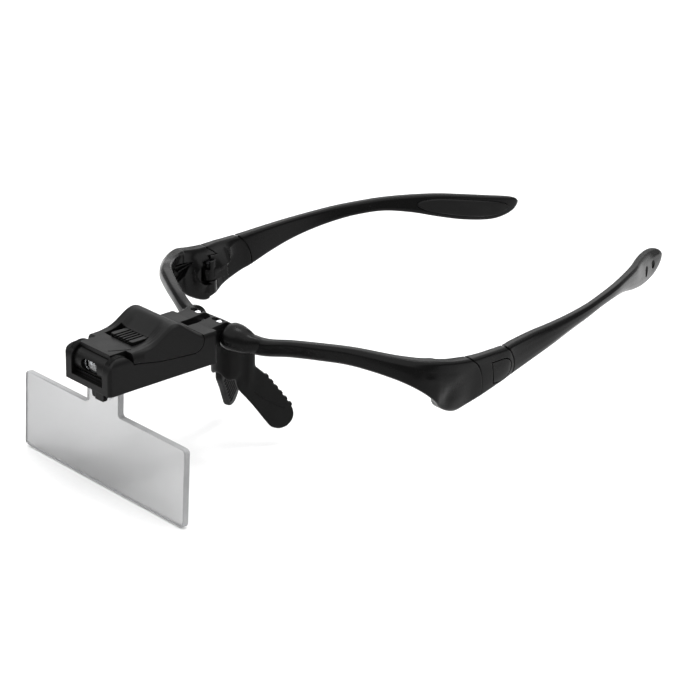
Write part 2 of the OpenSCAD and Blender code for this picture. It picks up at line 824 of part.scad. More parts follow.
// Side outline of the cover's region: behind the arch, above the parting line
module cover_side(c) {
  r = 4;
  difference() {
    union() {
      polygon([
        [cover_front + c, 40], [cover_front + c, part_z + part_rise + c],
        [arch_y + arch_r + 3, part_z + part_rise - 0.5 + c], [arch_y + arch_r + 10, part_z + 1.2 + c],
        [arch_y + arch_r + 20, part_z + 0.3 + c], [cover_rear - r, part_z + c], [cover_rear - r, 40]
      ]);
      translate([cover_rear - r, part_z + r]) circle(r - c);
      translate([cover_rear - 2 * r, part_z + r]) square([2 * r - c, 40]);
    }
    translate([arch_y, arch_z]) circle(arch_r + c);
    translate([barrel_y, barrel_z]) circle(barrel_r + face_c);
  }
}

module housing_plan(inset) {
  translate([0, (housing_front + housing_rear) / 2])
    rounded(housing_w - 2 * inset, housing_rear - housing_front - 2 * inset, corner_r);
}

module housing_base() {
  color(black)
    difference() {
      union() {
        difference() {
          intersection() {
            translate([0, 0, housing_z])
              linear_extrude(30) housing_plan(0);
            across(-hw, hw)
              difference() {
                union() {
                  translate([housing_front, housing_z]) square([housing_rear - housing_front, arch_h]);
                  translate([arch_y, housing_z]) square([cover_rear - arch_y, part_z + part_rise + 0.3 - housing_z]);
                  translate([arch_y, arch_z]) circle(arch_r);
                  translate([cover_rear - 4, housing_z]) square([housing_rear - cover_rear + 4, deck_h]);
                }
                cover_side(0);
              }
            arch_form();
          }
          // room for the cells, the board and the lamp
          translate([-hw + wall, barrel_y + barrel_r + 2.2, housing_z + wall])
            cube([housing_w - 2 * wall, cover_rear - 3 - barrel_y - barrel_r - 2.2, 30]);
          bar_x(-barrel_l / 2 - face_c, barrel_l / 2 + face_c, barrel_y, barrel_z, barrel_r + face_c);
          translate([-barrel_l / 2 - face_c, housing_front - 1, barrel_z])
            cube([barrel_l + 2 * face_c, barrel_back + barrel_r + 3, 20]);
          translate([-barrel_l / 2 - face_c, housing_front - 5, barrel_z - barrel_r - face_c])
            cube([barrel_l + 2 * face_c, 5 + barrel_back - 3.2, 20]);
          // recess between the lugs
          translate([-lug_gap / 2, cover_rear + 1, part_z])
            cube([lug_gap, 20, 20]);
        }
        hinge_lugs();
        screw_posts();
        arch_grip();
        tab_stop();
      }
      bar_x(-hw + 1.2, hw - 1.2, barrel_y, barrel_z, journal_r + run_c);
      bar_x(-30, 30, pin_y, pin_z, pin_r + run_c);
      lug_windows();
      lens_slot();
      door_opening();
      screw_holes(0.75);
      clip_seat();
    }
}

// Front view of the housing, with its rounded top edges
module arch_form() {
  top = arch_z + arch_r;
  translate([0, housing_rear + 1, 0])
    rotate([90, 0, 0])
      linear_extrude(housing_rear - housing_front + 2) {
        translate([-hw, 0]) square([housing_w, top - arch_edge]);
        translate([-hw + arch_edge, 0]) square([housing_w - 2 * arch_edge, top]);
        for (s = [-1, 1])
          translate([s * (hw - arch_edge), top - arch_edge]) circle(arch_edge);
      }
}

// Two lugs that turn on the tilt pin
module hinge_lugs() {
  for (s = [-1, 1])
    side(s) {
      x0 = lug_gap / 2;
      bar_x(x0, x0 + lug_w, pin_y, pin_z, lug_r);
      across(x0, x0 + lug_w)
        polygon([
          [housing_rear - 0.5, deck_z], [pin_y, pin_z + lug_r], [pin_y, pin_z], [pin_y - 0.9, pin_z - lug_r + 0.15],
          [housing_rear - 0.5, pin_z - lug_r - 1.2]
        ]);
    }
}
module lug_windows() {
  for (s = [-1, 1])
    side(s)
      translate([lug_gap / 2 + (lug_w - window_l) / 2, pin_y - window_w / 2, pin_z])
        linear_extrude(20)
          translate([window_l / 2, window_w / 2]) rounded(window_l, window_w, window_w / 2 - 0.1);
}

// Fine ribs that follow the arch of each front cheek
module arch_grip() {
  for (s = [-1, 1], i = [0:arch_ribs - 1])
    side(s) {
      w = (hw - barrel_l / 2 - face_c - 0.8 * arch_edge) / arch_ribs;
      translate([barrel_l / 2 + face_c + 0.3 + i * w, arch_y, arch_z])
        rotate([0, 90, 0])
          rotate_extrude(angle = 100, start = 130)
            translate([arch_r - 0.2, 0]) square([0.45, 0.5 * w]);
    }
}

// Posts for the two cover screws
post_x = hw - wall - 1.6;
post_y = cell_y - cell_r - 4;
post_r = 1.8;
module screw_posts() {
  for (s = [-1, 1])
    translate([s * post_x, post_y, housing_z])
      cylinder(h = 5.2, r = post_r);
}
module screw_holes(r) {
  for (s = [-1, 1])
    translate([s * post_x, post_y, housing_z - e]) {
      cylinder(h = 12, r = r + 0.1);
      cylinder(h = 1.4, r = 1.5);
    }
}
module cover_screws() {
  color(steel)
    for (s = [-1, 1])
      translate([s * post_x, post_y, housing_z + 0.2])
        difference() {
          union() {
            cylinder(h = 8, r = 0.75);
            cylinder(h = 1.1, r = 1.4);
          }
          for (a = [0, 90])
            rotate(a) translate([-0.8, -0.2, -e]) cube([1.6, 0.4, 0.6]);
        }
}

// Slot that takes the lens tab from below
module lens_slot() {
  lens_place()
    translate([-tab_w / 2 - plug_c, -plug_c, 0])
      cube([tab_w + 2 * plug_c, lens_t + 2 * plug_c, tab_h + plug_c]);
}

// Stop that hangs down behind the tab
module tab_stop() {
  lens_place()
    translate([-clip_w / 2, lens_t + plug_c, housing_z - clip_drop + 1])
      cube([clip_w, stop_t, clip_drop]);
}

// Opening and ledge for the battery door
module door_opening() {
  translate([-door_w / 2 - plug_c, cell_y - door_l / 2 - plug_c, housing_z - e])
    cube([door_w + 2 * plug_c, door_l + 2 * plug_c, door_t + plug_c]);
  translate([-door_w / 2 + 1, cell_y - door_l / 2 + 0.8, housing_z])
    cube([door_w - 2, door_l - 1.6, 10]);
}
module battery_door() {
  color(black)
    translate([0, cell_y, housing_z]) {
      difference() {
        translate([-door_w / 2, -door_l / 2, 0]) cube([door_w, door_l, door_t]);
        // finger ribs: shallow grooves near one edge
        for (i = [0:4])
          translate([-4, -door_l / 2 + 1.4 + i * 0.9, -e]) cube([8, 0.4, 0.3]);
      }
      // two ribs that bear up the cells
      for (s = [-1, 1])
        translate([s * 5 - 0.5, -3, door_t - 0.2])
          cube([1, 6, cell_h - cell_r - door_t]);
    }
}

// Height of the cover's outer skin: a full-width dome over the cells, level decks, rounded side edges
function cover_top(x, y) =
  let (
    back = y - housing_front,
    ax = abs(x),
    reach = back < dome_back ? 7.2 - 1.8 * (1 - smooth((ax - 5) / 4)) : 6.2,
    bulge = dome_h * exp(-pow((back - dome_back) / reach, 2)),
    rear = (front_deck_z - deck_z + 0.3) * smooth((back - 33.9) / 6.5),
    edge = (0.9 + 0.9 * (1 - smooth((back - 10.4) / 6))) * pow(max(0, ax - hw + 1.6) / 1.6, 2.2)
  )
  front_deck_z + bulge - rear - edge;
dome_back = cell_back + 0.2;

module cover_skin() {
  nx = 20;
  ny = 24;
  y0 = lip_y - 0.5;
  y1 = cover_rear + 0.6;
  xs = [for (i = [0:nx]) hw * sin(90 * (2 * i / nx - 1))];
  ys = [for (j = [0:ny]) y0 + (y1 - y0) * j / ny];
  under(xs, ys, housing_z + 1, [for (y = ys) [for (x = xs) cover_top(x, y)]]);
}

// Lip of the cover that reaches forward over the lamp barrel, between the two arches
module cover_lip() {
  half = barrel_l / 2 + face_c - part_gap;
  intersection() {
    cover_skin();
    across(-half, half)
      difference() {
        translate([lip_y, part_z + part_rise]) square([arch_r + 4, 20]);
        translate([barrel_y, barrel_z]) circle(barrel_r + face_c);
      }
  }
}

module housing_cover() {
  color(black)
    difference() {
      union() {
        intersection() {
          cover_skin();
          across(-hw - 1, hw + 1) cover_side(part_gap);
        }
        cover_lip();
      }
      // room for the cells and the board, under an even roof
      difference() {
        union() {
          translate([-hw + wall, arch_y + arch_r + wall + 0.6, housing_z])
            cube([housing_w - 2 * wall, cover_rear - 2 * wall - 1.6 - arch_y - arch_r, room_z - housing_z]);
          bar_x(-room_l / 2, room_l / 2, cell_y, cell_z, cell_r + 0.4);
        }
        for (s = [-1, 1])
          translate([s * post_x, post_y, 0]) cylinder(h = 40, r = post_r);
      }
      for (s = [-1, 1])
        translate([s * post_x, post_y, 0]) {
          cylinder(h = housing_z + 8.6, r = 0.85);
          cylinder(h = housing_z + 5.3, r = post_r + plug_c);
        }
      // recess and slot of the switch
      translate([slider_x - slider_travel / 2, slider_y, slider_floor])
        linear_extrude(20)
          rounded(slider_l + slider_travel + 2 * face_c, slider_w + 2 * face_c, 0.8);
      translate([slider_x - slider_travel / 2, slider_y, 0])
        linear_extrude(40)
          rounded(stem_l + slider_travel + 2 * face_c, stem_w + 2 * face_c, 0.5);
    }
}

// Roof of the room inside, under the recess of the switch
room_z = front_deck_z - recess_d - 1.1;
room_l = housing_w - 2 * wall;

// Switch slider with a grooved top, sliding across the housing
slider_x = slider_off;
slider_y = housing_front + slider_back;
slider_floor = front_deck_z - recess_d;
slider_top = front_deck_z + slider_up;
stem_l = 4;
stem_w = 2.4;
module switch_slider() {
  color(black)
    translate([slider_x, slider_y, 0])
      difference() {
        union() {
          translate([0, 0, slider_floor + plug_c])
            linear_extrude(slider_top - slider_floor - plug_c)
              rounded(slider_l, slider_w, 0.7);
          translate([0, 0, board_z + wiper_t + plug_c])
            linear_extrude(slider_floor + plug_c - board_z - wiper_t)
              rounded(stem_l, stem_w, 0.4);
        }
        for (i = [0:grooves - 1])
          translate([(i - (grooves - 1) / 2) * slider_l / (grooves + 2) - 0.45, -slider_w, slider_top - 0.7])
            cube([0.9, 2 * slider_w, 2]);
      }
}

// Board under the switch, wiper on the slider's stem
board_t = 0.8;
board_z = slider_floor - 1.6;
board_w = 2 * (post_x - post_r - plug_c);
board_l = 7;
wiper_t = 0.3;
module circuit_board() {
  color("#2f6b3a")
    translate([0, slider_y - 4, board_z - board_t - 0.2]) {
      difference() {
        translate([-board_w / 2, 0, 0]) cube([board_w, board_l, board_t]);
        for (s = [-1, 1])
          translate([s * (board_w / 2 - 1.2), board_l / 2, -1]) cylinder(h = 3, r = 0.6);
      }
      for (i = [-1:1])
        translate([i * board_w / 4 - 0.8, 1.4, board_t - 0.05]) cube([1.6, 4, 0.1]);
      for (s = [-1, 1])
        translate([s * (board_w / 2 - 1.2), board_l / 2, -4.2]) cylinder(h = 4.6, r = 0.5);
    }
}
module switch_wiper() {
  color("#b98f3f")
    translate([slider_x, slider_y, board_z - 0.05]) {
      translate([-2.6, -1, 0.05]) cube([5.2, 2, wiper_t]);
      for (x = [-2, 2])
        translate([x, 1, 0.05])
          rotate([90, 0, 0])
            cylinder(h = 2, r = 0.16);
    }
}

// Button cells side by side on one axis across the housing, and their contacts
module button_cells() {
  color(steel)
    for (i = [0:cells - 1])
      translate([(i - cells / 2) * cell_t, cell_y, cell_z])
        rotate([0, 90, 0]) {
          cylinder(h = cell_t - 0.5, r = cell_r - 0.15);
          cylinder(h = cell_t - 0.05, r = cell_r - 1.2);
        }
}
module battery_contacts() {
  stack = cells * cell_t / 2;
  side_x = hw - wall - 0.1;
  color("#c8a24a") {
    // flat contact, bent over from the side wall
    translate([stack, cell_y - contact_w / 2, cell_z - contact_h / 2]) {
      cube([strip_t, contact_w, contact_h]);
      cube([side_x - stack, contact_w, strip_t]);
      translate([side_x - stack - strip_t, 0, strip_t - 3]) cube([strip_t, contact_w, 3]);
    }
    // folded spring contact on the other side
    translate([-side_x, cell_y - contact_w / 2, cell_z - contact_h / 2 - 2])
      cube([strip_t, contact_w, contact_h + 2]);
    translate([-side_x + strip_t / 2, cell_y - contact_w / 2, cell_z + contact_h / 2])
      rotate([90, 0, 0])
        mirror([0, 0, 1])
          linear_extrude(contact_w)
            polygon([
              [-strip_t / 2, 0], [strip_t / 2, 0], [side_x - stack - 0.3, -3.6], [side_x - stack - 0.3, -4.2],
              [0.6, -7.6], [0.3, -7.3], [side_x - stack - 0.8, -3.9]
            ]);
  }
}

// Lamp barrel with its journals, the lamp and the clear window
lamp_aim = 4;
module lamp_front() {
  translate([0, barrel_y, barrel_z])
    rotate([lamp_aim, 0, 0])
      rotate([90, 0, 0])
        children();
}
module lamp_barrel() {
  color(black)
    difference() {
      union() {
        bar_x(-barrel_l / 2, barrel_l / 2, barrel_y, barrel_z, barrel_r);
        bar_x(-barrel_l / 2 - journal_l, barrel_l / 2 + journal_l, barrel_y, barrel_z, journal_r);
      }
      lamp_front() {
        translate([0, 0, barrel_r - 2.4]) linear_extrude(10) rounded(window_clear_w, window_clear_h, 1.8);
        for (s = [-1, 1])
          translate([s * led_gap / 2, 0, 0]) {
            cylinder(h = 10, r = led_r + plug_c);
            translate([0, 0, -0.6]) cylinder(h = 1.4, r = led_r + 0.3);
          }
      }
    }
}
module lamp_led() {
  color("#e8f2ff")
    lamp_front() {
      for (s = [-1, 1])
        translate([s * led_gap / 2, 0, 0]) {
          cylinder(h = led_l, r = led_r);
          translate([0, 0, led_l]) sphere(r = led_r);
          translate([0, 0, -0.5]) cylinder(h = 0.9, r = led_r + 0.2);
        }
    }
}
module lamp_window() {
  color([0.85, 0.9, 0.95, 0.5])
    lamp_front()
      difference() {
        translate([0, 0, barrel_r - 2.3])
          linear_extrude(1.9) rounded(window_clear_w - 2 * plug_c, window_clear_h - 2 * plug_c, 1.7);
        for (s = [-1, 1])
          translate([s * led_gap / 2, 0, 0]) {
            translate([0, 0, led_l]) sphere(r = led_r + 0.25);
            cylinder(h = led_l + 0.8, r = led_r + 0.25);
          }
      }
}

// Everything about the lens lies in a frame that leans with it, from the top front edge of the plate
lens_y = housing_front + lens_back;
tab_h = housing_z + tab_seat;
module lens_place() {
  translate([0, lens_y, 0])
    rotate([-lens_lean, 0, 0])
      children();
}
module lens_plate() {
  color([0.82, 0.86, 0.88, 0.4])
    lens_place()
      translate([0, lens_t, 0])
        rotate([90, 0, 0])
          linear_extrude(lens_t)
            union() {
              translate([0, -lens_h / 2]) rounded(lens_w, lens_h, lens_r);
              difference() {
                translate([-tab_w / 2 - 1, -1]) square([tab_w + 2, 2]);
                for (s = [-1, 1])
                  translate([s * (tab_w / 2 + 1), 1]) circle(1);
              }
              translate([-tab_w / 2, -1]) square([tab_w, tab_h + 1]);
            }
}

// Clip: a springy tongue in front of the tab, rooted in the housing's front wall
clip_root = 1.6;
module clip_shape(c) {
  translate([0, lens_y - face_c - clip_t - c, housing_z - clip_drop]) {
    translate([-clip_w / 2 - c, 0, 1.6]) cube([clip_w + 2 * c, clip_t + 2 * c, clip_drop - 1.6 + clip_root + c]);
    difference() {
      translate([0, 0, 1.6])
        rotate([-90, 0, 0])
          cylinder(h = clip_t + 2 * c, r = clip_w / 2 + c);
      translate([-20, -1, 1.6]) cube([40, 10, 20]);
      translate([-20, -1, -20]) cube([40, 10, 20]);
    }
  }
}
module clip_seat() {
  translate([-clip_w / 2 - plug_c, lens_y - face_c - clip_t - plug_c, housing_z - e])
    cube([clip_w + 2 * plug_c, clip_t + 2 * plug_c, clip_root + plug_c]);
}
module lens_clip() {
  color(black)
    difference() {
      clip_shape(0);
      translate([-clip_w / 2 - 1, lens_y - face_c - clip_t - 1, housing_z - clip_drop - 1])
        cube([2.6 + 1, 1.7, clip_drop + 1 - 0.6]);
    }
}

brow_frame();
nose_saddle();
tilt_pin();
hinge_screw(1);  // hinge_screw_left
hinge_screw(-1);  // hinge_screw_right
hinge_block(1);  // hinge_block_left
hinge_block(-1);  // hinge_block_right
arm(1);  // arm_left
arm(-1);  // arm_right
tip_pad(1);  // tip_pad_left
tip_pad(-1);  // tip_pad_right
release_button(1);  // release_button_left
release_button(-1);  // release_button_right
release_spring(1);  // release_spring_left
release_spring(-1);  // release_spring_right
housing_base();
housing_cover();
cover_screws();
battery_door();
button_cells();
battery_contacts();
circuit_board();
switch_slider();
switch_wiper();
lamp_barrel();
lamp_led();
lamp_window();
lens_clip();
lens_plate();
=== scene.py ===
import bpy
import bmesh
from math import cos, exp, pi, radians, sin, sqrt
from mathutils import Matrix, Vector


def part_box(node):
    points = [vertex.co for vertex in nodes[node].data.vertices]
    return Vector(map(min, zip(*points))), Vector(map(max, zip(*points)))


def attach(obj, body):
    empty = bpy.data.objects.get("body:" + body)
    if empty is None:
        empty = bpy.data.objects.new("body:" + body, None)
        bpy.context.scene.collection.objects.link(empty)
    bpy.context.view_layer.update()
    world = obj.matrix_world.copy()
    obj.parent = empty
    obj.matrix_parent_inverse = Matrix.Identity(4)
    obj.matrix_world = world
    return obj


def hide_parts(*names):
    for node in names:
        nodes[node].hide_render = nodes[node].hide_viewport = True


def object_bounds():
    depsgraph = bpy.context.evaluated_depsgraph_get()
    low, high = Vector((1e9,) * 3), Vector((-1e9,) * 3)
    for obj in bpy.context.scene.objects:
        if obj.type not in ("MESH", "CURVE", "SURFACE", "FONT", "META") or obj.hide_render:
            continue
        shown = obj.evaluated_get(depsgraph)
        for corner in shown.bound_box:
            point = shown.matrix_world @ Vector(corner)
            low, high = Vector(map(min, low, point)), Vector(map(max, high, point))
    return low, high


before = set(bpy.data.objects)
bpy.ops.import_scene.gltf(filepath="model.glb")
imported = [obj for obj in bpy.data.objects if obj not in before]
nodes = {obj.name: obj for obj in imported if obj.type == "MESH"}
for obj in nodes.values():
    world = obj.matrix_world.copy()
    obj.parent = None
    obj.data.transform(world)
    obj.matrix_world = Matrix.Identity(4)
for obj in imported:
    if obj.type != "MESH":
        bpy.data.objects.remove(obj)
cadLow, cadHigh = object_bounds()
print("frame loaded:", len(nodes), "nodes")

# Sizes are in millimetres and become metres where a mesh is made. Lights and camera are in metres.
mm = 0.001
weld = 1e-7  # metres: points closer than this are one
smoothAngle = 32  # degrees: sharper edges than this stay crisp


# Small mesh tools.
def splineRow(rows, u):  # smooth curve through control rows
    last = len(rows) - 1
    i = min(int(u), last - 1)
    t = u - i
    around = [rows[max(i - 1, 0)], rows[i], rows[i + 1], rows[min(i + 2, last)]]
    return [
        0.5 * (2 * b + (c - a) * t + (2 * a - 5 * b + 4 * c - d) * t * t + (3 * b - a - 3 * c + d) * t ** 3)
        for a, b, c, d in zip(*around)
    ]


def ease(t):
    t = max(0.0, min(1.0, t))
    return t * t * (3 - 2 * t)


def placed(name, data):  # new object in the scene
    made = bpy.data.objects.new(name, data)
    bpy.context.scene.collection.objects.link(made)
    return made


def newPiece(name, points, faces):
    mesh = bpy.data.meshes.new(name)
    mesh.from_pydata([tuple(c * mm for c in p) for p in points], [], faces)
    mesh.validate()
    return faceOut(placed(name, mesh))


def faceOut(piece):  # weld the points and turn the faces outwards
    work = bmesh.new()
    work.from_mesh(piece.data)
    bmesh.ops.remove_doubles(work, verts=work.verts, dist=weld)
    bmesh.ops.recalc_face_normals(work, faces=work.faces)
    work.to_mesh(piece.data)
    work.free()
    return piece


def skin(name, rings):  # closed skin over rings with the same number of points
    m = len(rings[0])
    faces = []
    for i in range(len(rings) - 1):
        for j in range(m):
            a, b = i * m + j, i * m + (j + 1) % m
            faces.append((a, b, b + m, a + m))
    faces.append(tuple(range(m)))
    faces.append(tuple(range((len(rings) - 1) * m, len(rings) * m)))
    return newPiece(name, [p for ring in rings for p in ring], faces)


def slab(name, outline, low, high, along):  # straight solid with a drawn outline
    def place(p, h):
        return {"X": (h, p[0], p[1]), "Y": (p[0], h, p[1]), "Z": (p[0], p[1], h)}[along]

    m = len(outline)
    points = [place(p, low) for p in outline] + [place(p, high) for p in outline]
    faces = [(j, (j + 1) % m, (j + 1) % m + m, j + m) for j in range(m)]
    faces += [tuple(range(m)), tuple(range(m, 2 * m))]
    return newPiece(name, points, faces)


def arc(centre, radius, start, end, steps=24):
    return [
        (
            centre[0] + radius * cos(radians(start + (end - start) * i / steps)),
            centre[1] + radius * sin(radians(start + (end - start) * i / steps)),
        )
        for i in range(steps + 1)
    ]


def circle(centre, radius, steps=48):
    return arc(centre, radius, 0, 360, steps)[:-1]


def curveThrough(points, steps=8):
    return [tuple(splineRow(points, i / steps)) for i in range(steps * (len(points) - 1) + 1)]


def bake(piece):  # turn the modifiers into mesh
    graph = bpy.context.evaluated_depsgraph_get()
    made = bpy.data.meshes.new_from_object(piece.evaluated_get(graph))
    old = piece.data
    piece.modifiers.clear()
    piece.data = made
    bpy.data.meshes.remove(old)
    return piece


def combine(piece, tool, operation="DIFFERENCE"):  # uses the tool up
    modifier = piece.modifiers.new("solid", "BOOLEAN")
    modifier.operation = operation
    modifier.solver = "EXACT"
    modifier.object = tool
    bake(piece)
    bpy.data.objects.remove(tool)
    return piece


def mirrored(piece, name):  # copy for the other side
    return flip(placed(name, piece.data.copy()))


def flip(piece):
    piece.data.transform(Matrix.Scale(-1, 4, (1, 0, 0)))
    return faceOut(piece)


def rotation(degrees, axis):
    return Matrix.Rotation(radians(degrees), 4, axis)


def shade(piece, angle=smoothAngle):
    piece.data.polygons.foreach_set("use_smooth", [True] * len(piece.data.polygons))
    piece.data.set_sharp_from_angle(angle=radians(angle))


def softened(piece, voxel, passes):  # even mesh with rounded edges, for soft mouldings
    remesh = piece.modifiers.new("even", "REMESH")
    remesh.mode = "VOXEL"
    remesh.voxel_size = voxel * mm
    relax = piece.modifiers.new("relax", "SMOOTH")
    relax.factor = 0.5
    relax.iterations = passes
    return bake(piece)


# Shader tools: a wire is a socket that understands sums.
class Wire:
    def __init__(self, finish, socket):
        self.finish = finish
        self.socket = socket

    def worked(self, operation, left, right):
        return self.finish.add("ShaderNodeMath", {"operation": operation}, {0: left, 1: right})

    def __add__(self, other):
        return self.worked("ADD", self, other)

    def __radd__(self, other):
        return self.worked("ADD", other, self)

    def __mul__(self, other):
        return self.worked("MULTIPLY", self, other)

    def __rmul__(self, other):
        return self.worked("MULTIPLY", other, self)

    def __truediv__(self, other):
        return self.worked("DIVIDE", self, other)


class Finish:
    def __init__(self, name, constants):
        self.material = bpy.data.materials.new(name)
        self.material.use_nodes = True
        self.tree = self.material.node_tree
        self.shader = next(n for n in self.tree.nodes if n.type == "BSDF_PRINCIPLED")
        for key, value in constants.items():
            self.shader.inputs[key].default_value = value
        self.place = self.add("ShaderNodeTexCoord", {}, {}, "Object")

    def add(self, kind, settings, inputs, output=0):
        node = self.tree.nodes.new(kind)
        for key, value in settings.items():
            if key == "stops":
                ramp = node.color_ramp
                while len(ramp.elements) < len(value):
                    ramp.elements.new(0.5)
                for element, (position, shadeOf) in zip(ramp.elements, value):
                    element.position = position
                    element.color = (shadeOf, shadeOf, shadeOf, 1)
            else:
                setattr(node, key, value)
        for key, value in inputs.items():
            self.feed(node.inputs[key], value)
        return Wire(self, node.outputs[output])

    def feed(self, socket, value):
        if isinstance(value, Wire):
            self.tree.links.new(value.socket, socket)
        else:
            socket.default_value = value

    def drive(self, name, value):
        self.feed(self.shader.inputs[name], value)

    def noise(self, perMetre, detail, roughness=0.5, stretch=None):
        place = self.place
        if stretch:
            place = self.add("ShaderNodeMapping", {}, {"Vector": place, "Scale": stretch})
        inputs = {"Vector": place, "Scale": perMetre, "Detail": detail, "Roughness": roughness}
        return self.add("ShaderNodeTexNoise", {}, inputs, "Fac")

    def ramp(self, value, stops):
        return self.add("ShaderNodeValToRGB", {"stops": stops}, {"Fac": value})

    def mixed(self, factor, first, second):
        return self.add("ShaderNodeMix", {"data_type": "RGBA"}, {"Factor": factor, 6: first, 7: second}, 2)

    def relief(self, height, depth, edge=0.0):  # bump over rounded-looking edges
        inputs = {"Strength": 1.0, "Distance": depth * mm, "Height": height}
        if edge:
            inputs["Normal"] = self.add("ShaderNodeBevel", {"samples": 6}, {"Radius": edge * mm})
        self.drive("Normal", self.add("ShaderNodeBump", {}, inputs))


def tone(value):
    return (value, value, value, 1)


# Finishes. Every dictionary before a function holds what its finishes share.
wear = {
    "dustPerMetre": 2600, "dustDetail": 0.7, "dustStops": [(0.0, 0.0), (0.62, 0.0), (0.8, 1.0)],
    "dustTone": 0.25, "flowTone": 0.8, "rubPerMetre": 120, "rubDetail": 0.6,
    "rubStops": [(0.35, 0.0), (0.7, 1.0)], "rubRough": 0.07, "flowRough": 0.05, "dustRough": 0.1, "ior": 1.5,
}


def mouldedBlack(name, look):
    made = Finish(name, {"IOR": wear["ior"], "Specular IOR Level": look["gloss"]})
    flow = made.noise(look["flowPerMetre"], 2.0)
    dust = made.ramp(made.noise(wear["dustPerMetre"], 2.0, wear["dustDetail"]), wear["dustStops"])
    tint = flow * wear["flowTone"] + dust * wear["dustTone"]
    made.drive("Base Color", made.mixed(tint, tone(look["dark"]), tone(look["light"])))
    rubbed = made.ramp(made.noise(wear["rubPerMetre"], 4.0, wear["rubDetail"]), wear["rubStops"])
    rough = look["roughness"] + wear["rubRough"] * rubbed + wear["flowRough"] * flow
    made.drive("Roughness", rough + wear["dustRough"] * dust)
    made.relief(made.noise(look["grainPerMetre"], 2.0), look["grain"], look["edge"])
    return made.material


powder = {"perMetre": 160, "rough": 0.12, "sheenRoughness": 0.5, "grainDetail": 0.65, "ior": 1.5}


def softBlack(name, look):
    made = Finish(name, {
        "IOR": powder["ior"], "Specular IOR Level": look["gloss"], "Sheen Weight": look["sheen"],
        "Sheen Roughness": powder["sheenRoughness"],
    })
    bloom = made.noise(powder["perMetre"], 3.0)
    made.drive("Base Color", made.mixed(bloom, tone(look["dark"]), tone(look["light"])))
    made.drive("Roughness", look["roughness"] + powder["rough"] * bloom)
    made.relief(made.noise(look["grainPerMetre"], 3.0, powder["grainDetail"]), look["grain"], look["edge"])
    return made.material


tarnish = {"perMetre": 260, "rough": 0.08, "lineDetail": 0.6, "lineRough": 0.15, "edge": 0.08, "grain": 0.004}


def bareMetal(name, look):
    made = Finish(name, {"Metallic": 1.0})
    lines = made.noise(look["linesPerMetre"], 3.0, tarnish["lineDetail"], look["stretch"])
    haze = made.noise(tarnish["perMetre"], 3.0)
    made.drive("Base Color", made.mixed(haze, look["dark"], look["light"]))
    made.drive("Roughness", look["roughness"] + tarnish["lineRough"] * lines + tarnish["rough"] * haze)
    made.relief(lines, tarnish["grain"], tarnish["edge"])
    return made.material


resin = {"hazeTone": 0.05, "hazeRough": 0.02}


def clearResin(name, look):
    made = Finish(name, {"Transmission Weight": look["clear"], "IOR": look["ior"]})
    haze = made.noise(look["hazePerMetre"], 3.0)
    share = haze
    if "paintedShadeWidth" in look:  # painted shade: the plate's colour grows lighter from one end to the other, a light falloff painted into it
        across = made.add("ShaderNodeSeparateXYZ", {}, {"Vector": made.place}, "X")
        width = look["paintedShadeWidth"] * mm
        share = (across + width / 2) / width + resin["hazeTone"] * haze
    made.drive("Base Color", made.mixed(share, look["first"], look["second"]))
    made.drive("Roughness", look["roughness"] + resin["hazeRough"] * haze)
    made.relief(haze, look["grain"])
    return made.material


board = {
    "weavePerMetre": 900, "stretch": (1, 6, 1), "tracksPerMetre": 260.0, "wander": 2.0,
    "trackStops": [(0.0, 0.0), (0.72, 0.0), (0.78, 1.0)], "ground": (0.02, 0.1, 0.04, 1),
    "track": (0.05, 0.22, 0.09, 1), "coat": 0.4, "coatRoughness": 0.2, "roughness": 0.35, "weaveRough": 0.15,
    "grain": 0.03,
}


def coatedBoard(name):
    made = Finish(name, {"Coat Weight": board["coat"], "Coat Roughness": board["coatRoughness"]})
    weave = made.noise(board["weavePerMetre"], 2.0, 0.5, board["stretch"])
    inputs = {"Vector": made.place, "Scale": board["tracksPerMetre"], "Distortion": board["wander"]}
    tracks = made.add("ShaderNodeTexWave", {"wave_type": "BANDS"}, inputs, "Fac")
    lines = made.ramp(tracks, board["trackStops"])
    made.drive("Base Color", made.mixed(lines, board["ground"], board["track"]))
    made.drive("Roughness", board["roughness"] + board["weaveRough"] * weave)
    made.relief(weave + lines, board["grain"])
    return made.material


framePlastic = mouldedBlack("framePlastic", {
    "dark": 0.0015, "light": 0.0035, "gloss": 0.1, "roughness": 0.2, "flowPerMetre": 45,
    "grainPerMetre": 2400, "grain": 0.006, "edge": 0.35,
})
housingPlastic = mouldedBlack("housingPlastic", {
    "dark": 0.002, "light": 0.0045, "gloss": 0.1, "roughness": 0.34, "flowPerMetre": 60,
    "grainPerMetre": 5200, "grain": 0.02, "edge": 0.3,
})
softRubber = softBlack("softRubber", {
    "dark": 0.004, "light": 0.008, "gloss": 0.09, "sheen": 0.02, "roughness": 0.46, "grainPerMetre": 3600,
    "grain": 0.02, "edge": 0.25,
})
pinSteel = bareMetal("pinSteel", {
    "dark": (0.6, 0.61, 0.63, 1), "light": (0.82, 0.83, 0.85, 1), "linesPerMetre": 2600,
    "stretch": (12, 1, 1), "roughness": 0.16,
})
blackSteel = bareMetal("blackSteel", {
    "dark": (0.012, 0.012, 0.013, 1), "light": (0.03, 0.03, 0.032, 1), "linesPerMetre": 2600,
    "stretch": (1, 1, 8), "roughness": 0.3,
})
cellNickel = bareMetal("cellNickel", {
    "dark": (0.62, 0.62, 0.6, 1), "light": (0.84, 0.84, 0.82, 1), "linesPerMetre": 1500, "stretch": (1, 8, 8),
    "roughness": 0.22,
})
stripBrass = bareMetal("stripBrass", {
    "dark": (0.6, 0.42, 0.18, 1), "light": (0.82, 0.62, 0.3, 1), "linesPerMetre": 1900, "stretch": (1, 1, 9),
    "roughness": 0.24,
})
greenBoard = coatedBoard("greenBoard")
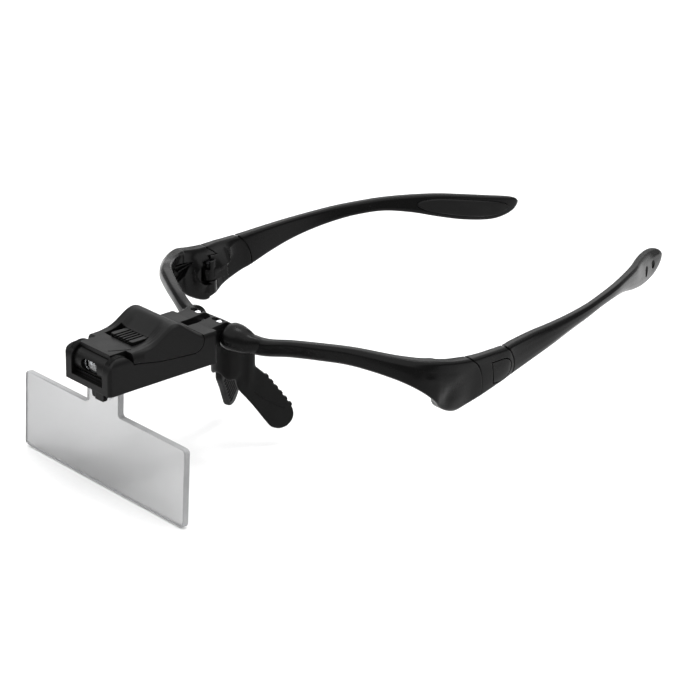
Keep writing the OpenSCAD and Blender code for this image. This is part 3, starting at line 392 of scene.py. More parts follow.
# painted shade: the lens runs from the darker first tone at its -x end to the lighter second tone at its +x
# end
lensAcrylic = clearResin("lensAcrylic", {
    "first": (0.34, 0.342, 0.345, 1), "second": (0.53, 0.532, 0.535, 1), "paintedShadeWidth": 85, "clear": 1.0,
    "ior": 1.49, "roughness": 0.015, "hazePerMetre": 30, "grain": 0.001,
})
lensRim = clearResin("lensRim", {
    "first": (0.62, 0.625, 0.63, 1), "second": (0.4, 0.405, 0.41, 1), "clear": 0.5,
    "ior": 1.3, "roughness": 0.25, "hazePerMetre": 260, "grain": 0.02,
})
lampResin = clearResin("lampResin", {
    "first": (0.93, 0.95, 0.97, 1), "second": (0.85, 0.88, 0.92, 1), "clear": 1.0,
    "ior": 1.5, "roughness": 0.03, "hazePerMetre": 500, "grain": 0.004,
})
chipPhosphor = softBlack("chipPhosphor", {
    "dark": 0.5, "light": 0.7, "gloss": 0.3, "sheen": 0.0, "roughness": 0.4, "grainPerMetre": 6000,
    "grain": 0.01, "edge": 0.05,
})
print("finishes made")


def dress(piece, material):
    piece.data.materials.clear()
    piece.data.materials.append(material)


def finishPiece(piece, body, node, material, angle=smoothAngle):
    shade(piece, angle)
    dress(piece, material)
    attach(piece, body)
    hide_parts(node)


# Brow frame and arms share one flowing section.
line = {
    "halfWidth": 71, "bridgeY": -11.6, "armTop": 13.1, "archRise": 6, "barHeight": 5.7, "barThick": 3.7,
    "barBulge": 0.35, "endHeight": 18.9, "endThick": 5, "hingeY": 40.3, "blockLength": 15.6,
    "armLength": 114, "armThick": 4,
}
ringSteps = 8  # rings from one control section to the next
browRows = [  # shares: across, back, rise, depth, thickness; then lean and the way that the bar faces
    [0.00, 0.00, 0.72, 0.10, 0.75, 0.0, 90],
    [0.14, 0.00, 0.68, 0.06, 0.70, 0.0, 90],
    [0.28, 0.05, 0.58, 0.00, 0.00, -0.3, 105],
    [0.42, 0.11, 0.85, 0.00, 0.00, 0.3, 110],
    [0.56, 0.20, 0.98, 0.00, 0.00, 0.0, 116],
    [0.70, 0.31, 1.00, 0.02, 0.10, -0.3, 122],
    [0.84, 0.48, 0.66, 0.11, 0.40, -1.3, 134],
    [0.92, 0.60, 0.46, 0.30, 0.75, -2.1, 142],
    [0.96, 0.69, 0.38, 0.62, 0.95, -1.0, 158],
]
blockY = line["hingeY"] + line["blockLength"]
jointRows = [  # back, inset, fall of the top, depth, lean, thickness, bulge
    [27.3, 1.6, 1.85, 16.8, 0.8, 5.0, 0.5],
    [31.3, 0.9, 1.0, 18.6, 2.2, 5.0, 0.5],
    [35.8, 0.5, 0.35, 19.4, 3.3, 5.0, 0.4],
    [40.3, 0.2, 0, 18.2, 3.4, 4.5, 0.3],
    [45.3, 0, 0, 16.3, 2.4, 4.0, 0.3],
    [50.3, 0, -0.1, 14.5, 1.8, 4.0, 0.4],
    [blockY, 0, -0.1, 12.9, 1.6, 4.0, 0.5],
]
armShares = [  # share of the arm's length, inset, fall, depth, lean, share of its thickness, bulge
    [0.035, 0.5, 0.2, 12.2, 1.3, 1.00, 0.5],
    [0.12, 1.3, 0.8, 10.1, 0.5, 0.92, 0.6],
    [0.21, 1.8, 1.1, 7.9, 0.4, 0.85, 0.6],
    [0.30, 2.8, 1.4, 6.2, 0.7, 0.80, 0.6],
    [0.39, 4.3, 1.8, 5.2, 0.9, 0.80, 0.5],
    [0.47, 6.6, 2.1, 4.7, 0.9, 0.82, 0.5],
    [0.56, 9.7, 2.3, 5.0, 0.9, 0.86, 0.5],
    [0.65, 13.8, 2.1, 6.6, 1.3, 0.90, 0.5],
    [0.74, 18.6, 1.6, 9.0, 0.9, 0.95, 0.6],
    [0.82, 24.0, 0.7, 10.2, -0.4, 1.00, 0.7],
    [0.90, 29.0, -0.5, 9.9, -1.2, 1.00, 0.8],
    [0.95, 31.4, -1.4, 8.2, -1.3, 0.95, 0.7],
    [0.985, 32.7, -2.4, 5.4, -0.9, 0.80, 0.4],
    [1.00, 33.0, -3.6, 2.2, -0.3, 0.60, 0.1],
]
armRows = jointRows + [
    [blockY + r[0] * line["armLength"], *r[1:5], r[5] * line["armThick"], r[6]] for r in armShares
]
armLast = len(armRows) - 1
blockLast = len(jointRows) - 1


def section(top, inward, low, lean, thick, bulge):  # twelve points round, from the outer top edge
    h = top[2] - low
    c, k = min(0.9, 0.22 * h), min(0.8, 0.2 * thick)  # cut corners, upright and across
    drawn = [
        (0, top[2] - c), (k, top[2]), (thick - k, top[2]), (thick, top[2] - k),
        (thick + 0.5 * lean, top[2] - 0.5 * h), (thick + lean, low + c), (thick + lean - k, low),
        (lean + k, low), (lean, low + c), (0.75 * lean - 0.7 * bulge, low + 0.27 * h),
        (0.5 * lean - bulge, low + 0.52 * h), (0.25 * lean - 0.7 * bulge, low + 0.77 * h),
    ]
    return [(top[0] + inward[0] * s, top[1] + inward[1] * s, z) for s, z in drawn]


def browRing(u):
    r = splineRow(browRows, u)
    z = line["armTop"] + r[2] * line["archRise"]
    depth = line["barHeight"] + r[3] * (line["endHeight"] - line["barHeight"])
    top = (r[0] * line["halfWidth"], line["bridgeY"] + r[1] * (line["hingeY"] - line["bridgeY"]), z)
    turn = radians(r[6])
    thick = line["barThick"] + r[4] * (line["endThick"] - line["barThick"])
    return section(top, (cos(turn), sin(turn)), z - depth, r[5], thick, line["barBulge"])


def armRing(u):
    r = splineRow(armRows, u)
    z = line["armTop"] + r[2]
    return section((line["halfWidth"] - r[1], r[0], z), (-1, 0), z - r[3], r[4], r[5], r[6])


def rowAt(y):
    for i in range(armLast):
        a, b = armRows[i][0], armRows[i + 1][0]
        if y <= b or i == armLast - 1:
            return i + (y - a) / (b - a)


def outerX(y, z):
    r = splineRow(armRows, rowAt(y))
    u = (line["armTop"] + r[2] - z) / r[3]
    return line["halfWidth"] - r[1] - r[4] * u + r[6] * (1 - (2 * u - 1) ** 2)


def innerX(y, z):
    r = splineRow(armRows, rowAt(y))
    u = (line["armTop"] + r[2] - z) / r[3]
    return line["halfWidth"] - r[1] - r[4] * u - r[5]


def cutCorners(ring, passes=2, cut=0.15):  # round the drawn corners by cutting them again and again
    for _ in range(passes):
        made = []
        for i, p in enumerate(ring):
            q = ring[(i + 1) % len(ring)]
            made += [tuple(a + share * (b - a) for a, b in zip(p, q)) for share in (cut, 1 - cut)]
        ring = made
    return ring


def flowingRings(keys):
    made = []
    for i in range(len(keys) - 1):
        around = [keys[max(i - 1, 0)], keys[i], keys[i + 1], keys[min(i + 2, len(keys) - 1)]]
        for s in range(ringSteps):
            made.append([tuple(splineRow([a, b, c, d], 1 + s / ringSteps)) for a, b, c, d in zip(*around)])
    return made + [keys[-1]]


def sideSlab(name, outline, sign, near, far):  # drawn in the side view, between two distances from the middle
    low, high = sorted((sign * near, sign * far))
    return slab(name, outline, low, high, "X")


# Temple hinge.
hinge = {
    "x": 63.7, "y": 37.6, "tongueR": 2.7, "tongueTop": 6.1, "tongueLow": 2.0, "earT": 2.8, "gap": 0.3,
    "screwR": 0.95, "headR": 1.9, "headH": 1.0, "groove": 0.15, "earLow": -2.8, "wrap": (92, 205),
    "bossR": 1.55, "seatClear": 0.9, "wrapClear": 0.2, "skin": 0.1, "frontClear": 0.6,
}
earTop = hinge["tongueTop"] + hinge["gap"] + hinge["earT"]
earR = hinge["tongueR"] + hinge["gap"]
# The block's round end in the side view, and how far the cutters reach.
armGap = {"at": (46.7, 3.0), "radius": 13.1, "blockClear": 0.28, "armClear": 0.22, "sides": 96}
cutter = {"below": -30, "above": 18, "near": 50, "far": 90, "past": 40}


def atHinge(outline, sign=1):  # an outline drawn round the hinge's own axis
    return [(sign * (hinge["x"] + a), hinge["y"] + b) for a, b in outline]


def gapLine(shift):  # the line of the gap between end piece and block, from below to above
    drawn = [
        (45.6, -30, 0.3), (45.6, -8, 0.3), (45.4, -1, 0.3), (44.6, 4, 0.3),
        (43.4, 7.6, 0.5), (41.6, 10.4, 1), (39.6, 12.2, 1), (38.3, 13.8, 1), (37, 18, 1),
    ]
    return curveThrough([(y + shift * share, z) for y, z, share in drawn], 6)


knuckle = {
    "face": 60.9, "start": 29.2, "full": 33.8, "leave": 44.5, "end": 54, "lower": 8.0, "upper": 12.6,
    "bottom": -2.7, "rise": 0.55, "riseFrom": 34, "bottomBlend": 3.2, "skin": 1.6, "skinBlend": 2.4,
}
hollow = {"y": 30.5, "z": 1.5, "deep": 0.9, "long": 3.4, "high": 3.6}
crease = {"z": 9.4, "fall": 0.12, "fallFrom": 24, "start": 16, "end": 38, "fade": 6, "deep": 0.35}
sculptRoom = {"x": 55, "front": 12, "back": 56, "outer": 2}  # where the faces are drawn over


def outerDent(y, z):  # hollow and crease of the outer face
    away = ((y - hollow["y"]) / hollow["long"]) ** 2 + ((z - hollow["z"]) / hollow["high"]) ** 2
    ridge = exp(-((z - crease["z"] + crease["fall"] * (y - crease["fallFrom"])) ** 2))
    ridge *= ease((y - crease["start"]) / crease["fade"])
    ridge *= ease((crease["end"] - y) / crease["fade"])
    return crease["deep"] * ridge - hollow["deep"] * exp(-away)


def knuckleShare(y, z, depth):  # how far the inner face is drawn over to the knuckle
    share = ease((y - knuckle["start"]) / (knuckle["full"] - knuckle["start"]))
    share *= 1 - ease((y - knuckle["leave"]) / (knuckle["end"] - knuckle["leave"]))
    share *= 1 - ease((z - knuckle["lower"]) / (knuckle["upper"] - knuckle["lower"]))
    above = z - knuckle["bottom"] - knuckle["rise"] * max(0, y - knuckle["riseFrom"])
    inside = ease((depth - knuckle["skin"]) / knuckle["skinBlend"])
    return share * (inside * ease(above / knuckle["bottomBlend"]))


def sculpted(ring):
    made = []
    for x, y, z in ring:
        if x > sculptRoom["x"] and sculptRoom["front"] < y < sculptRoom["back"]:
            depth = outerX(y, z) - x
            if depth < sculptRoom["outer"]:
                x += outerDent(y, z)
            x += knuckleShare(y, z, depth) * min(0.0, knuckle["face"] - x)
        made.append((x, y, z))
    return made


def armRings(first, last):  # finished rings from one control row to another
    keys = [armRing(i) for i in range(first, last)]
    return [sculpted(cutCorners(ring)) for ring in flowingRings(keys)]


pocket = {
    "outline": [(20.9, 11.4), (31.0, 9.7), (28.6, 7.6), (26.6, 5.2), (24.4, 3.6), (22.2, 4.9), (21.0, 7.4)],
    "at": (26, 8), "deep": 1.9, "room": 12, "ribs": [((24.4, 7.3), (30.6, 8.9)), ((22.4, 9.3), (30.8, 9.5))],
    "ribThick": 0.5, "ribDeep": 1.1,
}


def makePocket(sign):  # pocket in the inner face with two slanting ribs left standing
    floorX = innerX(*pocket["at"]) + pocket["deep"]
    hole = sideSlab("pocket", pocket["outline"], sign, floorX - pocket["room"], floorX)
    for (y0, z0), (y1, z1) in pocket["ribs"]:
        t = pocket["ribThick"] / 2
        rib = [(y0, z0 - t), (y1, z1 - t), (y1, z1 + t), (y0, z0 + t)]
        combine(hole, sideSlab("rib", rib, sign, floorX - pocket["ribDeep"], floorX + 1))
    return hole


crescent = {
    "at": (35.8, 4.7), "radius": 4.2, "inner": (38.2, 4.7), "innerRadius": 4.0, "deep": 2.4, "from": 55,
    "over": 1.01,
}


def makeCrescent(sign):  # curved recess in front of the knuckle
    near, far, over = crescent["from"], knuckle["face"] + crescent["deep"], crescent["over"]
    moon = sideSlab("moon", circle(crescent["at"], crescent["radius"]), sign, near, far)
    core = circle(crescent["inner"], crescent["innerRadius"])
    return combine(moon, sideSlab("core", core, sign, over * near, over * far))


def coreSkin(first, last, share=0.8):  # the section drawn in, to close a gap behind its groove
    made = []
    for ring in armRings(first, last):
        centre = [sum(p[k] for p in ring) / len(ring) for k in range(3)]
        made.append([tuple(c + share * (v - c) for v, c in zip(p, centre)) for p in ring])
    return skin("core", made)


def gapCore(sign):  # what shows in the gap between end piece and block
    core = coreSkin(2, 6)
    between = gapLine(-0.6) + gapLine(hinge["gap"] + hinge["groove"] - 0.1)[::-1]
    combine(core, slab("between", between, cutter["near"], cutter["far"], "X"), "INTERSECT")
    return flip(core) if sign < 0 else core


cheekRows = [  # share of the length, back, rise, half depth, half height
    [0.00, 2.3, -1.8, 5.2, 4.4],
    [0.18, 2.5, -2.0, 5.5, 4.5],
    [0.40, 3.4, -2.6, 5.0, 4.0],
    [0.62, 4.8, -3.5, 3.8, 3.2],
    [0.82, 6.6, -3.7, 2.5, 2.4],
    [1.00, 8.2, -3.5, 0.9, 1.0],
]
cheekAt = {"x": 9.4, "length": 10.8, "pinY": -15.5, "pinZ": 18.2, "rim": (0.7, 0.25), "sides": 40}


def cheek(sign):  # rounded boss beside the tilt pin, running out into the bar
    rings = []
    for i in range((len(cheekRows) - 1) * ringSteps + 1):
        share, back, rise, deep, high = splineRow(cheekRows, i / ringSteps)
        inset = cheekAt["rim"][i] if i < len(cheekAt["rim"]) else 0  # rounded inner rim
        x = cheekAt["x"] + share * cheekAt["length"]
        y, z = cheekAt["pinY"] + back, cheekAt["pinZ"] + rise
        turns = [2 * pi * j / cheekAt["sides"] for j in range(cheekAt["sides"])]
        rings.append([
            (sign * x, y + (deep - inset) * cos(a), z + (high - inset) * sin(a)) for a in turns
        ])
    return skin("cheek", rings)


def makeBrowFrame():
    keys = [browRing(i) for i in range(len(browRows))] + [armRing(i) for i in range(6)]
    half = flowingRings([[(-x, y, z) for x, y, z in keys[1]]] + keys)[ringSteps:]
    half = [sculpted(cutCorners(ring)) for ring in half]
    other = [[(-x, y, z) for x, y, z in ring] for ring in half[:0:-1]]
    body = skin("browFrame", other + half)
    low, high, far = cutter["below"], cutter["above"], cutter["far"]
    behind = gapLine(-hinge["groove"]) + [(far, high), (far, low)]
    innerY = hinge["y"] - 0.4
    inner = [(innerY, low), (60, low), (60, high), (innerY, high)]
    seatR = hinge["tongueR"] + hinge["seatClear"]
    seat = arc((0, 0), seatR, -90, 0) + [(seatR, 20), (-20, 20), (-20, -seatR)]
    lowerEar = arc((0, 0), earR, 0, 180) + [(-earR + 0.3, -1.8), (0.6, -4), (earR, -5)]
    upperEar = arc((0, 0), earR, 0, 87) + [(0.15, -5), (earR, -5)]
    tongueLow, upperLow = hinge["tongueLow"] - hinge["gap"], earTop - hinge["earT"]
    for sign in (1, -1):
        combine(body, sideSlab("cutter", behind, sign, cutter["near"], far))
        combine(body, gapCore(sign), "UNION")
        combine(body, sideSlab("cutter", inner, sign, cutter["near"], hinge["x"] + 0.3))
        combine(body, slab("cutter", atHinge(seat, sign), tongueLow, earTop + 0.3, "Z"))
        combine(body, makePocket(sign))
        combine(body, slab("ear", atHinge(lowerEar, sign), hinge["earLow"], tongueLow, "Z"), "UNION")
        combine(body, slab("ear", atHinge(upperEar, sign), upperLow, earTop, "Z"), "UNION")
        centre = (sign * hinge["x"], hinge["y"])
        combine(body, slab("boss", circle(centre, hinge["bossR"], 32), upperLow, earTop, "Z"), "UNION")
        combine(body, makeCrescent(sign))
        head = circle(centre, hinge["headR"])
        combine(body, slab("head", head, earTop - hinge["headH"], earTop + 0.4, "Z"))
        combine(body, cheek(sign), "UNION")
    return body


browFrame = makeBrowFrame()
finishPiece(browFrame, "frame", "brow_frame", framePlastic)
print("brow frame made")


# Hinge blocks, release buttons.
release = {
    "y": blockY - 7.4, "z": 5.0, "height": 8.4, "length": 9.3, "clear": 0.38, "depth": 1.6,
    "foot": (1.9, 0.4), "middle": 4, "room": 4,
}


def dShape(clear):
    r = release["height"] / 2
    y, z = release["y"], release["z"]
    footY, footZ = release["foot"]
    back = arc((y + release["length"] - r, z), r + clear, -90, 90, 28)
    return [(y + footY - clear, z - r + footZ - clear)] + back + [(y - clear, z + r + clear)]


def blockSkin(name):
    return skin(name, armRings(1, blockLast + 3)[ringSteps:ringSteps * (blockLast + 1) - ringSteps // 2])


def makeBlock():
    block = blockSkin("hingeBlockLeft")
    low, high, near, far, past = cutter.values()
    ahead = gapLine(hinge["gap"] + hinge["groove"]) + [(0, high), (0, low)]
    combine(block, slab("cutter", ahead, hinge["x"] - hinge["skin"], far, "X"))
    frontY = hinge["y"] + hinge["frontClear"]
    combine(block, slab("cutter", [(0, low), (frontY, low), (frontY, high), (0, high)], near, far, "X"))
    y = armGap["at"][0]
    outside = slab("outside", [(y, -past), (y + 60, -past), (y + 60, past), (y, past)], 40, far, "X")
    seat = circle(armGap["at"], armGap["radius"] - armGap["blockClear"], armGap["sides"])
    combine(outside, slab("seat", seat, 30, 100, "X"))
    combine(block, outside)
    pin = (hinge["x"], hinge["y"])
    combine(block, slab("cutter", circle(pin, earR + hinge["gap"]), -past, hinge["tongueLow"], "Z"))
    start, end = hinge["wrap"]
    wrap = arc(pin, hinge["tongueR"], start, end) + arc(pin, hinge["bossR"] + hinge["wrapClear"], end, start)
    combine(block, slab("wrap", wrap, hinge["tongueTop"] - 0.2, earTop, "Z"), "UNION")
    headRoom = circle(pin, hinge["headR"] + 0.1)
    combine(block, slab("headRoom", headRoom, earTop - hinge["headH"], earTop + 0.2, "Z"))
    r, inset = hinge["tongueR"], line["halfWidth"] - hinge["x"]
    tongue = arc((0, 0), r, -180, 0) + [
        (r + 0.5, 8), (inset - 2.4, 8.8), (inset - 2.4, 11), (inset - line["armThick"] - 1.4, 11), (-r, 7),
    ]
    combine(block, slab("tongue", atHinge(tongue), hinge["tongueLow"], hinge["tongueTop"], "Z"), "UNION")
    combine(block, slab("bore", circle(pin, hinge["screwR"]), -past, past, "Z"))
    return block


def inFace(outline, face):  # a D-shaped plug from the block's outer face inwards
    return slab("window", outline, face - release["depth"], face + release["room"], "X")


buttonFace = outerX(release["y"] + release["middle"], release["z"])
blockLeft = combine(makeBlock(), inFace(dShape(release["clear"]), buttonFace))
buttonLeft = combine(blockSkin("releaseButtonLeft"), inFace(dShape(0), buttonFace), "INTERSECT")
for piece, body, node in [(blockLeft, "temple", "hinge_block"), (buttonLeft, "release", "release_button")]:
    twin = mirrored(piece, piece.name.replace("Left", "Right"))
    finishPiece(piece, body + "_left", node + "_left", framePlastic)
    finishPiece(twin, body + "_right", node + "_right", framePlastic)
print("hinge blocks made")


# Arms and their soft tip pads.
pad = {
    "end": 0.955, "length": 33, "proud": 0.7, "seat": 0.8, "seatHalf": 0.85, "half": 0.33, "least": 0.02,
    "edge": 0.35, "steps": 44, "stud": 1.4, "studFrom": 0.04, "studStep": 0.07, "clear": 0.1,
    "room": (1.2, 4),
}


def padBody(name, clear, proud):  # leaf-shaped and crowned on its free face
    y1 = blockY + pad["end"] * line["armLength"] + clear
    y0 = y1 - pad["length"] - 2 * clear
    rim = [(-proud * (1 - (1 - h) ** 2), 1 - pad["edge"] * h * 0.5) for h in (0.35, 0.7)]
    drawn = [(pad["seat"] + clear, -pad["seatHalf"]), (pad["seat"] + clear, pad["seatHalf"]), (0, 1)] + rim
    drawn += [(-proud, q) for q in (0.7, 0.35, 0.0, -0.35, -0.7)]
    drawn += [(s, -q) for s, q in rim[::-1]] + [(0, -1)]
    rings = []
    for i in range(pad["steps"] + 1):
        v = 0.5 - 0.5 * cos(pi * i / pad["steps"])
        y = y0 + v * (y1 - y0)
        r = splineRow(armRows, rowAt(y))
        half = (pad["half"] * r[3] + clear) * sqrt(max(pad["least"], 1 - (2 * v - 1) ** 4))
        middle = line["armTop"] + r[2] - 0.5 * r[3]
        rings.append([(innerX(y, middle + q * half) + s, y, middle + q * half) for s, q in drawn])
    return skin(name, rings)


def studs(name, radius, past=0):
    made = []
    for k in (0, 1):
        y = blockY + (pad["end"] - pad["studFrom"] - pad["studStep"] * k) * line["armLength"]
        r = splineRow(armRows, rowAt(y))
        z = line["armTop"] + r[2] - 0.45 * r[3]
        x0 = innerX(y, z) + pad["seat"] - 0.4
        shape = circle((y, z), radius)
        if k == 1:  # pear-shaped second stud
            shape = arc((y, z), radius, -40, 220, 30) + arc((y, z - radius), 0.7 * radius, 200, 340, 12)
        made.append(slab(name, shape, x0, x0 + r[5] + r[6] - pad["seat"] - 0.2 + past, "X"))
    return made


def makeArm():
    arm = skin("armLeft", armRings(blockLast - 2, armLast + 1)[ringSteps:])
    at, r, sides, past = armGap["at"], armGap["radius"], armGap["sides"], cutter["past"]
    near, far, y = cutter["near"], cutter["far"], armGap["at"][0] + 1
    front = slab("front", [(y, -60), (y, 60), (0, 60), (0, -60)], 0, 100, "X")
    combine(front, slab("round", circle(at, r + armGap["armClear"], sides), 0, 100, "X"), "UNION")
    combine(arm, front)
    core = coreSkin(blockLast - 2, blockLast + 3)
    ring = slab("ring", circle(at, r + 0.8, sides), near, far, "X")
    combine(ring, slab("hole", circle(at, r - 0.2, sides), 40, 100, "X"))
    combine(ring, slab("rear", [(y, -past), (y, past), (far, past), (far, -past)], 40, 100, "X"), "INTERSECT")
    combine(core, ring, "INTERSECT")
    combine(arm, core, "UNION")
    proud, past = pad["room"]
    combine(arm, padBody("seat", pad["clear"], proud))
    for tool in studs("hole", pad["stud"] + pad["clear"], past):
        combine(arm, tool)
    return arm


armLeft = makeArm()
tipPadLeft = padBody("tipPadLeft", 0, pad["proud"])
for tool in studs("stud", pad["stud"]):
    combine(tipPadLeft, tool, "UNION")
for piece, node, slot, material in [
    (armLeft, "arm", "frame_plastic", framePlastic), (tipPadLeft, "tip_pad", "soft_rubber", softRubber),
]:
    twin = mirrored(piece, piece.name.replace("Left", "Right"))
    finishPiece(piece, "temple_left", node + "_left", material)
    finishPiece(twin, "temple_right", node + "_right", material)
print("arms made")


# Nose saddle: a web under the cheeks and two ribbed wings, softened as moulded rubber is.
saddle = {
    "half": 7.4, "back": -6.4, "deep": 5.4, "top": 10.3, "voxel": 0.35, "passes": 34, "fineVoxel": 0.26,
    "finePasses": 3, "blendAt": (6.5, -2.9), "blendR": 2.2, "blendLow": -5.5,
}
wing = {
    "turn": 62, "lean": 6, "off": 8.3, "radius": 5.2, "length": 15.8, "thick": 2.8, "root": (1, -4.6),
    "along": (0.6, -0.8), "teeth": 6, "toothR": 0.75, "toothFrom": 0.9, "toothInset": 0.3, "ribs": 8,
    "ribW": 0.7, "ribH": 0.5, "ribInset": 1.2, "grooveAt": -1.6, "grooveBend": 0.02, "grooveW": 0.3,
    "grooveD": 0.42,
}


def ball(name, centre, size):
    work = bmesh.new()
    bmesh.ops.create_uvsphere(work, u_segments=32, v_segments=20, radius=mm)
    mesh = bpy.data.meshes.new(name)
    work.to_mesh(mesh)
    work.free()
    mesh.transform(Matrix.Translation([c * mm for c in centre]) @ Matrix.Diagonal((*size, 1)))
    return placed(name, mesh)


def alongWing(t, across):  # a point on the wing's own plane
    x, z = wing["along"]
    return (wing["root"][0] + x * t - z * across, wing["root"][1] + z * t + x * across)


def onWing(piece, sign):
    turn = rotation(wing["turn"], "Z")
    lean = rotation(-wing["lean"], "X")
    piece.data.transform(turn @ lean @ Matrix.Translation((0, -wing["off"] * mm, 0)))
    return flip(piece) if sign < 0 else faceOut(piece)


def leaf():  # wing outline, a little fuller at the toothed side
    def turned(middle, start, end):
        angles = [radians(d) for d in range(start, end, 15)]
        return [alongWing(middle + r * cos(a), r * sin(a)) for a in angles]

    r, full = wing["radius"], wing["length"]
    lower = [alongWing(t * full, -r + 0.35 * sin(pi * t)) for t in (0, 0.25, 0.5, 0.75)]
    upper = [alongWing(t * full, r + 0.3 * sin(pi * t)) for t in (1, 0.75, 0.5, 0.25, 0.08)]
    return lower + turned(full, -75, 90) + upper + turned(0, 120, 270)


def makeWeb():  # plan and face of the piece that the bar's cheeks sit on
    w, back, front = saddle["half"], saddle["back"], saddle["back"] - saddle["deep"]
    plan = [
        (0, front), (0.36, front + 0.4), (0.7, back - 3.6), (0.9, back - 1), (1, back + 2), (0.8, back + 3.2),
        (0.5, back + 1), (0, back - 0.4),
    ]
    face = [
        (1, 20), (1, 8.8), (0.9, 6.4), (0.9, 3), (0.9, 0), (0.8, -2.2), (0.6, -2.9), (0.4, -2.2), (0.2, -1.1),
        (0, -0.7),
    ]
    plan = [(x * w, y) for x, y in plan] + [(-x * w, y) for x, y in plan[-2:0:-1]]
    face = [(x * w, z) for x, z in face] + [(-x * w, z) for x, z in face[-2::-1]]
    web = slab("noseSaddle", plan, -10, saddle["top"], "Z")
    return combine(web, slab("face", face, -40, 20, "Y"), "INTERSECT")


def addTeeth(body, sign):
    low, high = wing["toothInset"], wing["thick"] - wing["toothInset"]
    for k in range(wing["teeth"]):
        at = alongWing((k + wing["toothFrom"]) * wing["length"] / wing["teeth"], wing["radius"] - 0.1)
        combine(body, onWing(slab("tooth", circle(at, wing["toothR"], 20), low, high, "Y"), sign), "UNION")


def addRibs(body, sign):
    r, half = wing["radius"] - wing["ribInset"], wing["ribW"] / 2
    low, high = wing["thick"] - 0.5, wing["thick"] + wing["ribH"]
    for k in range(wing["ribs"]):
        t = wing["length"] * (k + 1) / wing["ribs"]
        drawn = [(t - half, -r), (t + half, -r), (t + half, r), (t - half, r)]
        combine(body, onWing(slab("rib", [alongWing(*p) for p in drawn], low, high, "Y"), sign), "UNION")


def cutGroove(body, sign):
    middle = [(t, wing["grooveAt"] + wing["grooveBend"] * t * t) for t in (3, 7, 11, 15)]
    half = wing["grooveW"]
    drawn = [(t, a - half) for t, a in middle] + [(t, a + half) for t, a in middle[::-1]]
    combine(body, onWing(slab("groove", [alongWing(*p) for p in drawn], -1, wing["grooveD"], "Y"), sign))


def makeSaddle():
    body = makeWeb()
    x, y = saddle["blendAt"]
    for sign in (1, -1):
        combine(body, onWing(slab("wing", leaf(), 0, wing["thick"], "Y"), sign), "UNION")
        blend = circle((sign * x, y), saddle["blendR"])
        combine(body, slab("blend", blend, saddle["blendLow"], saddle["top"], "Z"), "UNION")
    softened(body, saddle["voxel"], saddle["passes"])
    for sign in (1, -1):
        addTeeth(body, sign)
        addRibs(body, sign)
        cutGroove(body, sign)
    return softened(body, saddle["fineVoxel"], saddle["finePasses"])


noseSaddle = makeSaddle()
finishPiece(noseSaddle, "frame", "nose_saddle", softRubber, 60)
print("nose saddle made")


# Housing cover: one flowing skin.
cover = {
    "halfWidth": 12, "front": -66, "rear": -21, "under": 9.5, "deck": 20.8, "frontDeck": 22.1,
    "part": 15.3, "partRise": 3.1, "gap": 0.32, "archR": 5.2, "archBack": 5.2, "archZ": 16.4,
    "barrelRoom": 4.6, "coverBack": 9.62, "lipBack": 3.484, "lipHalf": 7.95, "rearInset": 5.6,
    "steps": (64, 110), "room": [(-53.5, 9), (-31, 9), (-31, 19.2), (-53.5, 19.2)], "roomHalf": 10.5,
    "slit": [(4.4, -60.6), (4.75, -60.75), (8.6, -54.3), (8.25, -54.15)], "slitDeep": 0.5, "recessDeep": 1.4,
    "switchTravel": 2.9, "switchGap": 0.3,
}
dome = {
    "high": 5.4, "back": 28.0, "front": 7.2, "rear": 6.2, "steeper": 1.8, "crown": 5, "crownFade": 4,
    "drop": 0.3, "dropFrom": 33.9, "dropLong": 6.5,
}
edge = {"fall": 0.9, "frontFall": 0.9, "fadeFrom": 10.4, "fade": 6, "wide": 1.6, "power": 2.2}
flutes = {
    "at": (7.4, 8.6, 9.8), "deep": 0.16, "wide": 0.28, "slant": 0.05, "slantFrom": 20, "start": 15.5,
    "end": 25, "fade": 4,
}


def coverTop(x, y):
    back = y - cover["front"]
    ax = abs(x)
    reach = dome["rear"]
    if back < dome["back"]:
        reach = dome["front"] - dome["steeper"] * (1 - ease((ax - dome["crown"]) / dome["crownFade"]))
    bulge = dome["high"] * exp(-(((back - dome["back"]) / reach) ** 2))
    fall = cover["frontDeck"] - cover["deck"] + dome["drop"]
    rear = fall * ease((back - dome["dropFrom"]) / dome["dropLong"])
    rounding = edge["fall"] + edge["frontFall"] * (1 - ease((back - edge["fadeFrom"]) / edge["fade"]))
    rounding *= (max(0, ax - cover["halfWidth"] + edge["wide"]) / edge["wide"]) ** edge["power"]
    flute = 0.0
    for at in flutes["at"]:  # shallow flutes on the front flank of the dome
        away = (ax - at - flutes["slant"] * (back - flutes["slantFrom"])) / flutes["wide"]
        ends = [(back - flutes["start"]) / flutes["fade"], (flutes["end"] - back) / flutes["fade"]]
        flute += flutes["deep"] * exp(-(away ** 2)) * ease(ends[0]) * ease(ends[1])
    return cover["frontDeck"] + bulge - rear - rounding - flute


def sidePlan(clear):  # side outline of the cover, behind the arch and above the parting line
    archEnd = cover["front"] + cover["archBack"] + cover["archR"]
    start = cover["front"] + cover["coverBack"] + clear
    rear = cover["rear"] - cover["rearInset"]
    part, rise = cover["part"] + clear, cover["partRise"]
    low = curveThrough([
        (start, part + rise), (archEnd + 3, part + rise - 0.5), (archEnd + 10, part + 1.2),
        (archEnd + 20, part + 0.3), (rear - 4, part),
    ])
    corner = arc((rear - 4, cover["part"] + 4), 4 - clear, -90, 0)
    return [(start, 40)] + low + corner[1:] + [(rear - clear, 40)]


